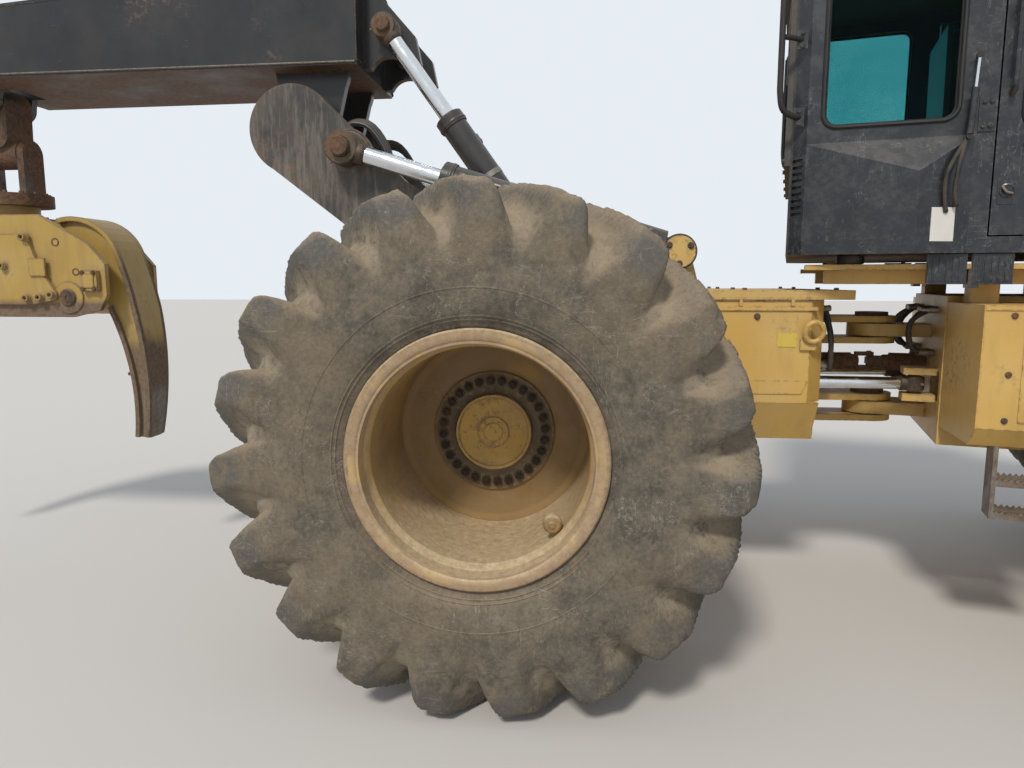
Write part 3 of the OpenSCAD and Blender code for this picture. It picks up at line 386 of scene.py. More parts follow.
# Half sections from the middle of the tread out to the bead: [distance from middle, radius].
GROOVE = [(0.0, 0.830), (0.10, 0.829), (0.19, 0.822), (0.262, 0.803), (0.313, 0.768),
          (0.349, 0.722), (0.374, 0.668), (0.3865, 0.605), (0.384, 0.545), (0.368, 0.492),
          (0.345, 0.458), (0.335, 0.440)]
LUG = [(0.0, 0.914), (0.10, 0.924), (0.20, 0.927), (0.285, 0.922), (0.345, 0.903), (0.366, 0.838),
       (0.380, 0.735), (0.3868, 0.625), (0.384, 0.545), (0.368, 0.492), (0.345, 0.458),
       (0.335, 0.440)]
SECTION_STEPS = 44


def around(count):
    """Each step round a closed ring with the next."""
    return [(i, (i + 1) % count) for i in range(count)]


def tyre_form(phase):
    groove, lug = through(GROOVE, SECTION_STEPS), through(LUG, SECTION_STEPS)
    stations = LUGS * STATIONS_PER_LUG
    pitch = 2 * math.pi / LUGS
    crest, gentle = 0.058, 0.2      # half the lug's width at its top, and the flank's easing
    rng = np.random.default_rng(11)
    wear = rng.uniform(0.86, 1.0, (2, LUGS))
    lean = rng.uniform(-0.012, 0.012, (2, LUGS))
    angle = np.arange(stations) * 2 * math.pi / stations
    rows, sand, height = [], [], []
    for side, sign in ((0, 1), (1, -1)):
        order = range(SECTION_STEPS - 1, 0, -1) if side == 0 else range(0, SECTION_STEPS)
        for k in order:
            (across, low), (lug_across, high) = groove[k], lug[k]
            slant = max(0.0, 0.335 - across) * 0.95
            start = max(0.0, min(1.0, (across - 0.015) / 0.05))
            local = (angle - slant - side * pitch / 2) / pitch
            which = np.floor(local).astype(int) % LUGS
            off = np.abs((local - np.floor(local) - 0.5 + lean[side][which])) * pitch
            foot = 0.118 + 0.05 * max(0.0, (0.80 - low) / 0.2)
            mask = np.clip((foot - off) / (foot - crest), 0, 1)
            mask = mask * mask * (3 - 2 * mask) * gentle + mask * (1 - gentle)
            amount = mask * wear[side][which] * start
            radius = low + (high - low) * amount
            aside = across + (lug_across - across) * amount
            rows.append(np.stack([radius * np.cos(angle + phase), sign * aside,
                                  radius * np.sin(angle + phase)], 1))
            sand.append(1 - mask)
            height.append(amount)
    points = np.array(rows)
    across_n, around_n = points.shape[:2]
    flat = points.reshape(-1, 3)
    sand, height = np.array(sand).ravel(), np.array(height).ravel()
    rough = np.array([noise.fractal(Vector(p) * 9.0, 0.9, 2.0, 4) for p in flat])
    chips = np.array([noise.fractal(Vector(p) * 26.0 + Vector((5, 5, 5)), 0.8, 2.1, 3)
                      for p in flat])
    radial = flat.copy()
    radial[:, 1] = 0
    length = np.linalg.norm(radial, axis=1, keepdims=True)
    radial /= length
    tread = np.clip((length[:, 0] - 0.60) / 0.2, 0, 1)
    move = (rough * 0.006 + np.minimum(chips, 0) * 0.012 * height) * tread
    limit = np.minimum(length[:, 0] + move, TYRE_R - 0.0005)
    flat = radial * limit[:, None] + np.array([0, 1, 0]) * flat[:, 1:2]
    beads = []
    for i, across in ((0, BEAD_HALF_W), (across_n - 1, -BEAD_HALF_W)):
        unit = flat[i * around_n:(i + 1) * around_n] * np.array([1, 0, 1])
        unit /= np.linalg.norm(unit, axis=1, keepdims=True)
        beads.append(unit * BEAD_R + np.array([0, across, 0]))
    # Rows follow each other over the tread, then from bead to bead round the inside.
    inner = across_n * around_n
    rows = [(i * around_n, (i + 1) * around_n) for i in range(across_n - 1)]
    faces = [(a + j, a + n, b + n, b + j) for a, b in rows for j, n in around(around_n)]
    for j, n in around(around_n):
        a, b, c, d = inner + j, inner + n, inner + around_n + j, inner + around_n + n
        faces += [(a, b, n, j), (inner - around_n + j, inner - around_n + n, d, c), (c, d, b, a)]
    flat = np.vstack([flat, *beads])
    plain = np.zeros(2 * around_n)
    crown = np.clip((length[:, 0] - 0.74) / 0.10, 0, 1)
    sand, lug = (np.concatenate([share, plain]) for share in (sand * tread, height * crown))
    return flat, faces, sand, lug


def tyre_rubber():
    s = Surface("tyre_rubber", 0.85)
    sand, lug = s.attribute("sand"), s.attribute("lug")
    broad = s.noise(3.0, 6, seed=1.0)
    middle = s.noise(13, 8, rough=0.74, seed=4.0)
    fine = s.noise(70, 7, rough=0.78)
    grit = s.noise(260, 3)
    s.colour = s.mix(s.step(middle, 0.38, 0.62), (0.086, 0.075, 0.060), (0.190, 0.158, 0.116))
    s.coat(s.step(broad, 0.42, 0.60), (0.215, 0.165, 0.108), 0.55)
    patch = s.noise(6.5, 8, rough=0.7, seed=6.4)
    polished = s.times(s.step(lug, 0.25, 0.75), s.step(patch, 0.40, 0.52))
    s.coat(polished, (0.090, 0.088, 0.080), 0.80)
    packed = s.times(s.step(sand, 0.35, 0.85), s.step(middle, 0.34, 0.54))
    s.coat(packed, (0.39, 0.325, 0.235), 0.78)
    s.coat(s.step(fine, 0.50, 0.68), (0.32, 0.27, 0.195), 0.38)
    s.coat(s.step(fine, 0.46, 0.32), (0.050, 0.044, 0.036), 0.45)
    lines = 0.0
    for stretch, seed in (((5, 1, 0.7), 2.2), ((0.7, 1, 5), 8.2), ((2.4, 1, 2.0), 5.1)):
        waves = s.noise(3.4, 5, stretch=stretch, rough=0.62, seed=seed)
        line = s.times(s.step(waves, 0.490, 0.498), s.step(waves, 0.510, 0.502))
        line = s.times(line, s.step(s.noise(5, 5, seed=seed + 3), 0.52, 0.60))
        lines = s.either(line, lines)
    scuff = s.either(s.times(lines, 0.9),
                     s.step(s.noise(9, 9, stretch=(5, 1, 1), rough=0.82, seed=2.2), 0.64, 0.70))
    s.coat(scuff, (0.40, 0.36, 0.29), 0.48)
    lying = s.times(s.step(s.facing("Z"), 0.35, 0.95), s.step(fine, 0.25, 0.5))
    s.coat(lying, (0.38, 0.29, 0.19), 0.7)
    s.bump(s.plus(s.times(s.minus(fine, s.times(lines, 0.25)), 0.75), s.times(grit, 0.25)), 0.006)
    return s.finish(s.blend(polished, 0.92, 0.60))


def face_outward(mesh, weld=0.0):
    form = bmesh.new()
    form.from_mesh(mesh)
    if weld:
        bmesh.ops.remove_doubles(form, verts=form.verts, dist=weld)
    bmesh.ops.recalc_face_normals(form, faces=form.faces)
    form.to_mesh(mesh)
    form.free()


def place_piece(mesh, name, body, slot, *nodes):
    """The mesh as a piece that rides on a body and stands for the nodes named."""
    piece = bpy.data.objects.new(name, mesh)
    bpy.context.scene.collection.objects.link(piece)
    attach(piece, body)
    if nodes:
        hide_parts(*nodes)
    return piece


def smooth_all(mesh):
    mesh.polygons.foreach_set("use_smooth", [True] * len(mesh.polygons))


rubber = tyre_rubber()
wheel_places = {}       # each wheel's centre, its half's turn and the side that it is on
for end, half, along, turn in (("rear", on_rear, 0, 0),
                               ("front", on_front, HALF_BASE, parked_angle)):
    for hand, side in (("right", -1), ("left", 1)):
        hub = half @ shifted(along, side * TRACK / 2, AXLE_Z)
        wheel_places[end + "_" + hand] = hub, turn, side
points, faces, sand, lug = tyre_form(FIRST_LUG)
for place, (hub, turn, side) in wheel_places.items():
    mesh = bpy.data.meshes.new("tyre_" + place)
    mesh.from_pydata(points.tolist(), [], faces)
    for name, values in (("sand", sand), ("lug", lug)):
        mesh.attributes.new(name, "FLOAT", "POINT").data.foreach_set("value", values)
    mesh.transform(hub @ flipped(-side))
    mesh.materials.append(rubber)
    smooth_all(mesh)
    face_outward(mesh)
    place_piece(mesh, "lugged_tyre_" + place, "wheel_" + place, "rubber", "tyre_" + place)


# The wheels are deep-dish steel rims with a planetary hub. A ring of nuts holds the disc, and
# the wheel's paint has gone to rust at the flange, with sand lying in the bottom of the barrel.
def wheel_paint(name, centre, turn):
    s = Surface(name)
    local = s.node("ShaderNodeMapping", {"Vector": s.place, "Location": centre,
                                         "Rotation": (0, 0, turn)},
                   vector_type="TEXTURE").outputs["Vector"]
    flat = s.node("ShaderNodeVectorMath", {0: local, 1: (1, 0, 1)},
                  operation="MULTIPLY").outputs["Vector"]
    radius = s.node("ShaderNodeVectorMath", {0: flat}, operation="LENGTH").outputs["Value"]
    broad = s.noise(4.0, 6, seed=1.7)
    fine = s.noise(42, 7, rough=0.72)
    s.colour = s.mix(s.step(broad, 0.35, 0.65), (0.52, 0.315, 0.050), (0.57, 0.375, 0.105))
    rust = s.mix(s.step(fine, 0.3, 0.7), (0.150, 0.078, 0.040), (0.33, 0.200, 0.115))
    blotches = s.step(s.noise(8, 6, seed=2.9), 0.36, 0.50)
    flange = s.times(s.step(radius, 0.374, 0.384), s.times(s.step(fine, 0.28, 0.46), blotches))
    lip = s.times(s.step(radius, 0.416, 0.424), s.step(fine, 0.22, 0.36))
    flange = s.either(flange, lip)
    barrel = s.times(s.step(radius, 0.335, 0.372), s.step(broad, 0.44, 0.60))
    patches = s.times(s.step(broad, 0.56, 0.66), s.step(fine, 0.40, 0.58))
    worn = s.either(s.either(flange, s.times(barrel, 0.75)), patches)
    worn = s.either(worn, s.times(s.edge(0.01), s.step(fine, 0.35, 0.5)))
    cap = s.times(s.step(radius, 0.150, 0.146), s.step(fine, 0.54, 0.62))
    worn = s.either(worn, s.times(cap, 0.8))
    s.coat(worn, rust)
    greasy = s.times(s.step(radius, 0.151, 0.154), s.step(radius, 0.250, 0.226))
    greasy = s.times(greasy, s.step(fine, 0.25, 0.45))
    s.coat(greasy, (0.034, 0.024, 0.016), 0.93)
    groove = s.times(s.step(radius, 0.1455, 0.1475), s.step(radius, 0.1535, 0.1515))
    s.coat(groove, (0.012, 0.010, 0.008))
    disc = s.times(s.step(radius, 0.222, 0.250), s.step(radius, 0.350, 0.335))
    s.coat(s.times(disc, s.step(broad, 0.20, 0.45)), (0.17, 0.105, 0.048), 0.78)
    # Painted shade: a darker brown over the barrel's inside stands for the shade in the deep dish.
    inside = s.times(s.step(radius, 0.325, 0.338), s.step(radius, 0.378, 0.372))
    s.coat(inside, (0.21, 0.135, 0.065), 0.55)
    rim_dust = s.times(s.step(radius, 0.374, 0.382), s.step(fine, 0.25, 0.55))
    s.coat(rim_dust, (0.50, 0.385, 0.255), 0.52)
    up = s.step(s.facing("Z"), 0.15, 0.75)
    lying = s.times(up, s.step(s.noise(9, 6, seed=3.3), 0.20, 0.38))
    film = s.times(s.step(s.noise(7, 7, seed=6.1), 0.35, 0.65), 0.5)
    s.coat(s.either(film, s.times(s.hollow(0.12), 0.6)), (0.36, 0.255, 0.145))
    sand = s.mix(s.step(fine, 0.35, 0.65), (0.40, 0.300, 0.175), (0.62, 0.490, 0.310))
    s.coat(lying, sand)
    s.bump(s.plus(s.times(fine, 0.7), s.times(s.noise(200, 3), 0.2)), 0.003)
    return s.finish(s.blend(worn, 0.60, 0.92))


def turns(count, phase=0.0):
    """Even angles round a circle."""
    return [2 * math.pi * (i + phase) / count for i in range(count)]


class Part:
    """Lathed, bent and cut forms gathered into one piece."""

    def __init__(self, matrix=Matrix()):
        self.matrix = matrix
        self.points, self.faces, self.face_looks, self.smooth, self.looks = [], [], [], [], []

    def add(self, points, faces, look, matrix=Matrix(), smooth=False):
        if look not in self.looks:
            self.looks.append(look)
        first = len(self.points)
        whole = self.matrix @ matrix
        self.points += [whole @ Vector(p) for p in points]
        self.faces += [tuple(first + i for i in f) for f in faces]
        self.face_looks += [self.looks.index(look)] * len(faces)
        self.smooth += [smooth] * len(faces)

    def lathe(self, profile, look, matrix=Matrix(), steps=36):
        """Turn [radius, height] pairs about Z; a radius of zero closes an end."""
        points, rings = [], []
        for r, h in profile:
            rings.append(len(points))
            points += [(r * math.cos(a), r * math.sin(a), h)
                       for a in turns(steps)[:1 if r == 0 else steps]]
        faces = []
        for (here, _), (beyond, _), a, b in zip(profile, profile[1:], rings, rings[1:]):
            for i, j in around(steps):
                if here == 0:
                    faces.append((a, b + j, b + i))
                elif beyond == 0:
                    faces.append((a + i, a + j, b))
                else:
                    faces.append((a + i, a + j, b + j, b + i))
        self.add(points, faces, look, matrix, True)

    def tube(self, path, radius, look, matrix=Matrix(), sides=12, closed=False, smooth_path=0):
        """Sweep a round section along points, with its ends closed."""
        if smooth_path:
            path = through(path, smooth_path)
        path = [Vector(p) for p in path]
        n = len(path)
        points, faces = [], []
        side = None
        for k, p in enumerate(path):
            before = path[k - 1] if k or closed else p
            after = path[(k + 1) % n] if k < n - 1 or closed else p
            along = (after - before).normalized()
            if side is None:
                side = along.orthogonal().normalized()
            side = (side - along * side.dot(along)).normalized()
            other = along.cross(side)
            r = radius[k] if isinstance(radius, (list, tuple)) else radius
            points += [p + r * (side * math.cos(a) + other * math.sin(a)) for a in turns(sides)]
        for k in range(n if closed else n - 1):
            a, b = k * sides, ((k + 1) % n) * sides
            faces += [(a + i, a + j, b + j, b + i) for i, j in around(sides)]
        if not closed:
            faces.append(tuple(reversed(range(sides))))
            faces.append(tuple(range((n - 1) * sides, n * sides)))
        self.add(points, faces, look, matrix, True)

    def prism(self, outline, low, high, look, matrix=Matrix(), bevel=0.003):
        """A side-view outline [x, z] as a plate between two distances along Y, edges eased."""
        form = bmesh.new()
        ends = [[form.verts.new((x, y, z)) for x, z in outline] for y in (low, high)]
        form.faces.new(ends[0])
        form.faces.new(reversed(ends[1]))
        for i, j in around(len(outline)):
            form.faces.new((ends[0][j], ends[0][i], ends[1][i], ends[1][j]))
        if bevel:
            sharp = [e for e in form.edges if e.calc_face_angle(0) > 0.5]
            bmesh.ops.bevel(form, geom=sharp, offset=bevel, segments=2, profile=0.5, affect="EDGES")
        bmesh.ops.recalc_face_normals(form, faces=form.faces)
        form.verts.index_update()
        self.add([v.co.copy() for v in form.verts],
                 [[v.index for v in f.verts] for f in form.faces], look, matrix)
        form.free()

    def box(self, low, high, look, matrix=Matrix(), bevel=0.003):
        self.prism([(low[0], low[2]), (high[0], low[2]), (high[0], high[2]), (low[0], high[2])],
                   low[1], high[1], look, matrix, bevel)

    def finish(self, name, body, slot, *nodes):
        mesh = bpy.data.meshes.new(name)
        mesh.from_pydata([tuple(p) for p in self.points], [], self.faces)
        for look in self.looks:
            mesh.materials.append(look)
        mesh.polygons.foreach_set("material_index", self.face_looks)
        mesh.polygons.foreach_set("use_smooth", self.smooth)
        face_outward(mesh)
        mesh.set_sharp_from_angle(angle=math.radians(35))
        return place_piece(mesh, name, body, slot, *nodes)


def node_tree(name, **inputs):
    """A geometry tree with named number inputs; gives the tree and its two end nodes."""
    tree = bpy.data.node_groups.new(name, "GeometryNodeTree")
    tree.interface.new_socket("Geometry", in_out="INPUT", socket_type="NodeSocketGeometry")
    for label, (kind, value) in inputs.items():
        socket = tree.interface.new_socket(label, in_out="INPUT", socket_type="NodeSocket" + kind)
        if value is not None:
            socket.default_value = value
    tree.interface.new_socket("Geometry", in_out="OUTPUT", socket_type="NodeSocketGeometry")
    return tree, tree.nodes.new("NodeGroupInput"), tree.nodes.new("NodeGroupOutput")


def grown(tree, name, mesh, **values):
    """Run a geometry tree over a mesh and give back the plain mesh it makes."""
    source = bpy.data.objects.new("source", mesh)
    bpy.context.scene.collection.objects.link(source)
    form = source.modifiers.new("form", "NODES")
    form.node_group = tree
    for item in tree.interface.items_tree:
        if item.in_out == "INPUT" and item.name in values:
            form[item.identifier] = values[item.name]
    depsgraph = bpy.context.evaluated_depsgraph_get()
    made = bpy.data.meshes.new_from_object(source.evaluated_get(depsgraph))
    bpy.data.objects.remove(source)
    made.name = name
    return made


def end_tree(tree, put, given, out):
    """Turn the instances into plain mesh with the tree's finish on it."""
    real = add_node(tree, "GeometryNodeRealizeInstances", {0: put.outputs[0]})
    look = add_node(tree, "GeometryNodeSetMaterial", {"Geometry": real.outputs[0],
                                                      "Material": given.outputs["Finish"]})
    tree.links.new(look.outputs[0], out.inputs[0])


# A hexagon head on its washer, set at each point along the point's own direction.
tree, given, out = node_tree("bolt_heads", Size=("Float", 0.02), Finish=("Material", None))
one_bolt = add_node(tree, "GeometryNodeJoinGeometry")
for kind, shape in (("GeometryNodeMeshCone", {"Vertices": 6, "Radius Bottom": 1.0,
                                              "Radius Top": 0.93, "Depth": 0.95}),
                    ("GeometryNodeMeshCylinder", {"Vertices": 16, "Radius": 1.28, "Depth": 0.24}),
                    ("GeometryNodeMeshCylinder", {"Vertices": 10, "Radius": 0.5, "Depth": 1.5})):
    tree.links.new(add_node(tree, kind, shape).outputs["Mesh"], one_bolt.inputs[0])
direction = add_node(tree, "GeometryNodeInputNamedAttribute", {"Name": "direction"},
                     data_type="FLOAT_VECTOR")
aim = add_node(tree, "FunctionNodeAlignRotationToVector",
               {"Vector": direction.outputs["Attribute"]}, axis="Z")
spin = add_node(tree, "FunctionNodeRandomValue", {3: 1.0, "Seed": 5}, data_type="FLOAT")
about = add_node(tree, "ShaderNodeCombineXYZ", {"Z": spin.outputs[1]})
aimed = add_node(tree, "FunctionNodeRotateRotation", {0: aim.outputs[0], 1: about.outputs[0]},
                 rotation_space="LOCAL")
put = add_node(tree, "GeometryNodeInstanceOnPoints", {"Points": given.outputs["Geometry"],
                                                      "Instance": one_bolt.outputs[0],
                                                      "Rotation": aimed.outputs[0],
                                                      "Scale": given.outputs["Size"]})
end_tree(tree, put, given, out)
bolt_tree = tree


def bolt_heads(name, body, slot, size, look, places, matrix=Matrix()):
    """One piece of bolt heads, from (point, direction) pairs."""
    mesh = bpy.data.meshes.new(name)
    mesh.from_pydata([tuple(matrix @ Vector(p)) for p, _ in places], [], [])
    aims = mesh.attributes.new("direction", "FLOAT_VECTOR", "POINT")
    turn = matrix.to_3x3()
    aims.data.foreach_set("vector", [c for _, d in places for c in (turn @ Vector(d)).normalized()])
    made = grown(bolt_tree, name, mesh, Size=size, Finish=look)
    return place_piece(made, name, body, slot)


# A weld bead lies along a path in overlapping ripples.
tree, given, out = node_tree("weld_bead", Width=("Float", 0.008), Spacing=("Float", 0.009),
                             Finish=("Material", None))
path = add_node(tree, "GeometryNodeMeshToCurve", {"Mesh": given.outputs["Geometry"]})
along_path = add_node(tree, "GeometryNodeResampleCurve", {"Curve": path.outputs[0],
                                                          "Length": given.outputs["Spacing"]},
                      mode="LENGTH")
ripple = add_node(tree, "GeometryNodeMeshUVSphere", {"Segments": 8, "Rings": 5, "Radius": 1.0})
uneven = add_node(tree, "FunctionNodeRandomValue", {2: 0.85, 3: 1.15, "Seed": 8}, data_type="FLOAT")
scale = add_node(tree, "ShaderNodeMath", {0: uneven.outputs[1], 1: given.outputs["Width"]},
                 operation="MULTIPLY")
put = add_node(tree, "GeometryNodeInstanceOnPoints", {"Points": along_path.outputs[0],
                                                      "Instance": ripple.outputs["Mesh"],
                                                      "Scale": scale.outputs[0]})
end_tree(tree, put, given, out)
weld_tree = tree
RIPPLE_STEP = 1.15      # from one ripple to the next, in bead widths


def weld_beads(name, body, slot, look, paths, matrix=Matrix(), width=0.006):
    points, edges = [], []
    for path in paths:
        first = len(points)
        points += [tuple(matrix @ Vector(p)) for p in path]
        edges += [(i, i + 1) for i in range(first, len(points) - 1)]
    mesh = bpy.data.meshes.new(name)
    mesh.from_pydata(points, edges, [])
    made = grown(weld_tree, name, mesh, Width=width, Spacing=width * RIPPLE_STEP, Finish=look)
    smooth_all(made)
    return place_piece(made, name, body, slot)


def seams(path):
    """A weld's path on both sides of the middle."""
    return [[(x, side * y, z) for x, y, z in path] for side in (-1, 1)]


def side_face(x, z, y, side):
    """A place on a side face at distance y from the middle, with its Z axis outward."""
    return shifted(x, side * y, z) @ spun(-side * math.pi / 2, "X")


def side_bolts(y, places):
    """Bolts on both side faces at distance y from the middle, at [x, z] places."""
    return [((x, side * y, z), (0, side, 0)) for side in (-1, 1) for x, z in places]


def ring(x, z, radius, angles):
    return [(x + radius * math.cos(a), z + radius * math.sin(a)) for a in angles]


greasy_iron = bare_steel("greasy_iron", (0.020, 0.015, 0.012), (0.060, 0.043, 0.030), 0.6, 0.25)
DISC_FACE, NUT_RING_R, NUTS = 0.181, 0.200, 28
STEM_R, STEM_ANGLE = 0.3348, -0.74
RING_SHAPE = (-0.0042, -0.002), (-0.002, 0.0022), (0.002, 0.0022), (0.0042, -0.002)
across = spun(math.pi / 2, "X")     # lays a lathed form's axis along Y
for place, (hub, turn, side) in wheel_places.items():
    body = "wheel_" + place
    paint = wheel_paint("wheel_paint_" + place, tuple(hub.translation), turn)
    dress(body, paint)
    outside = hub @ (spun(math.pi, "Z") if side > 0 else Matrix())
    bolt_heads("wheel_nuts_" + place, body, "iron", 0.0155, greasy_iron, [
        ((x, DISC_FACE - 0.006, z), (0, -1, 0))
        for x, z in ring(0, 0, NUT_RING_R, turns(NUTS, 0.3))], outside)
    trim = Part(outside)
    trim.lathe([(0, -0.165), (0.034, -0.165), (0.038, -0.160), (0.038, -0.150), (0, -0.150)], paint,
               across)
    trim.lathe([(0.4335, 0.3275), (0.4335, 0.3340), (0.437, 0.3400), (0.4375, 0.3490),
                (0.432, 0.3555), (0.420, 0.3580), (0.404, 0.3560), (0.396, 0.3500),
                (0.394, 0.3440)], paint, across, 96)
    stem_at = shifted(STEM_R * math.cos(STEM_ANGLE), 0, STEM_R * math.sin(STEM_ANGLE))
    trim.lathe([(0, -0.200), (0.022, -0.200), (0.023, -0.232), (0.030, -0.236), (0.033, -0.246),
                (0.032, -0.262), (0.026, -0.270), (0.012, -0.273), (0.010, -0.279), (0, -0.280)],
               paint, stem_at @ across @ spun(math.pi, "X"))
    trim.finish("rim_trim_" + place, body, "yellow")
    mould = Part(outside)
    for radius, stand in ((0.466, 0.3508), (0.478, 0.3590), (0.566, 0.3856)):
        for end in (1, -1):
            mould.lathe([(radius + r, end * (stand + out)) for r, out in RING_SHAPE], rubber,
                        across, 120)
    mould.finish("tyre_mould_rings_" + place, body, "rubber")


# Hoses are wire-braided rubber with pressed steel ferrules, and each one is clamped at both
# ends on the same body.
def hose_rubber():
    s = Surface("hose_rubber", 0.55)
    dusty = s.step(s.noise(9, 6, seed=3.0), 0.40, 0.66)
    s.colour = s.mix(s.times(dusty, 0.6), (0.016, 0.016, 0.017), (0.15, 0.115, 0.078))
    s.coat(s.step(s.facing("Z"), 0.5, 1.0), (0.12, 0.095, 0.066))
    s.bump(s.noise(300, 3), 0.0006)
    return s.finish(s.blend(dusty, 0.42, 0.85))


hose_black = hose_rubber()


HOSE_R = 0.0115
FERRULE = ((0, -0.012), (1.15, -0.012), (1.15, 0.006), (1.5, 0.008), (1.5, 0.024), (1.28, 0.026),
           (1.32, 0.040), (1.22, 0.044), (1.28, 0.058), (1.18, 0.064), (0.9, 0.066), (0, 0.066))


def add_hose(part, path, radius=HOSE_R):
    points = [Vector(p) for p in through(path, 28)]
    part.tube(points, radius, hose_black, sides=10)
    for end, beside in ((0, 2), (-1, -3)):
        along = (points[beside] - points[end]).normalized()
        seat = Matrix.Translation(points[end]) @ along.to_track_quat("Z", "Y").to_matrix().to_4x4()
        part.lathe([(r * radius, z) for r, z in FERRULE], worn_steel, seat, 12)


# The rear frame is a welded box with a folded skirt and a dusty double deck. It has a tie-down
# eye and a blank warning plate on its skirt, and stitch welds under the deck's edge.
dusty_deck = worn_paint("dusty_deck", (0.56, 0.37, 0.10), (0.62, 0.45, 0.20), 0.45, 0.95, gloss=0.5)
sign_yellow = worn_paint("sign_yellow", (0.72, 0.52, 0.06), (0.70, 0.52, 0.10), 0.1, 0.25,
                         gloss=0.35)
SKIRT_Y = -0.500
DECK_Z = 1.474
HITCH_X = 1.765         # from the rear axle
SHAFT_Z = 1.120
SHAFT_EARS_Y = 0.036    # from the shaft's middle to each ear of its universal joint
rear_trim = Part(on_rear)
for side in (1, -1):
    mirror = flipped(side)
    rear_trim.tube([(1.335 + 0.038 * math.sin(a), SKIRT_Y - 0.020 - 0.026 * math.cos(a / 2) ** 2,
                     1.295 + 0.043 * math.cos(a)) for a in turns(28)], 0.0115, yellow_paint, mirror,
                   10, closed=True)
    rear_trim.box((1.285, SKIRT_Y - 0.013, 1.215), (1.350, SKIRT_Y + 0.004, 1.262), yellow_paint,
                  mirror, 0.004)
    rear_trim.box((1.190, SKIRT_Y - 0.0025, 1.228), (1.272, SKIRT_Y + 0.002, 1.290), sign_yellow,
                  mirror, 0.001)
    rear_trim.box((0.722, SKIRT_Y - 0.0115, DECK_Z - 0.0405),
                  (1.400, SKIRT_Y + 0.010, DECK_Z - 0.030), dusty_deck, mirror, 0.002)
    for x in (0.80, 1.02, 1.24):
        rear_trim.box((x, SKIRT_Y - 0.0105, 1.405), (x + 0.014, SKIRT_Y + 0.010, 1.434),
                      yellow_paint, mirror, 0.003)
    rear_trim.prism([(0.86, 1.08), (0.90, 1.02), (1.30, 1.02), (1.33, 1.08)], SKIRT_Y - 0.0045,
                    SKIRT_Y + 0.003, yellow_paint, mirror, 0.002)
rear_trim.box((0.66, -0.45, DECK_Z - 0.0005), (0.90, 0.45, DECK_Z + 0.004), dusty_deck, bevel=0.001)
shaft_joint = shifted(HITCH_X, 0, SHAFT_Z)
rear_trim.lathe([(0, 0.056), (0.030, 0.056), (0.034, 0.064), (0.034, 0.085), (0.042, 0.090),
                 (0.042, 0.330), (0.060, 0.334), (0.060, 0.352), (0.042, 0.356), (0.042, 0.368),
                 (0, 0.368)], dark_iron, shaft_joint @ spun(-math.pi / 2, "Y"), 32)
for side in (-1, 1):
    rear_trim.box((-0.064, -0.022, side * SHAFT_EARS_Y - 0.009),
                  (0.016, 0.022, side * SHAFT_EARS_Y + 0.009), dark_iron, shaft_joint, 0.004)
rear_trim.lathe([(0, -0.050), (0.012, -0.050), (0.012, 0.050), (0, 0.050)], worn_steel, shaft_joint,
                16)
rear_trim.finish("rear_frame_trim", "rear_frame", "yellow")
weld_beads("rear_frame_welds", "rear_frame", "yellow", yellow_paint,
           seams([(x, 0.502, 1.431) for x in np.linspace(0.78, 1.31, 8)])
           + seams([(0.282 + 0.236 * t, 0.433, 1.131) for t in np.linspace(0, 1, 6)])
           + seams([(x, 0.4005, 1.0605) for x in np.linspace(-0.52, 0.28, 8)])
           + seams([(1.399, 0.106, z) for z in np.linspace(0.84, 1.40, 7)]), on_rear)
bolt_heads("rear_frame_bolts", "rear_frame", "iron", 0.0115, dark_iron,
           side_bolts(0.5005, [(0.80, 1.36), (0.80, 1.10), (1.10, 1.36)])
           + side_bolts(0.477, [(x, z) for z in (1.225, 1.375) for x in (0.330, 0.470)])
           + side_bolts(0.575, ring(0.750, 1.638, 0.052, (0.5, 2.6, 4.7))), on_rear)
bolt_heads("deck_bolts", "rear_frame", "iron", 0.0105, dark_iron, [
    ((x, y, DECK_Z), (0, 0, 1)) for x in (0.70, 1.05, 1.44) for y in (-0.46, -0.20, 0.20, 0.46)],
           on_rear)

# Four hydraulic hoses on each side leave the rear frame beside the hitch. They hang in a loop
# between two clamp bars and go back in under the deck.
hitch_hoses = Part(on_rear)
for side in (-1, 1):
    for i in range(4):
        y = side * (0.190 + 0.038 * i)
        drop = 0.02 * i
        add_hose(hitch_hoses, [(1.405, y, 1.385), (1.450, y * 1.02, 1.375),
                               (1.505 - 0.01 * i, y * 1.05, 1.300 - drop),
                               (1.515 - 0.012 * i, y * 1.04, 1.180 - drop),
                               (1.470, y, 1.135 - drop * 0.3), (1.405, y, 1.150)])
    low, high = sorted((side * 0.17, side * 0.325))
    for bottom, top in ((1.135, 1.168), (1.370, 1.402)):
        hitch_hoses.box((1.388, low, bottom), (1.402, high, top), black_paint)
hitch_hoses.finish("hitch_hoses_rear", "rear_frame", "rubber")

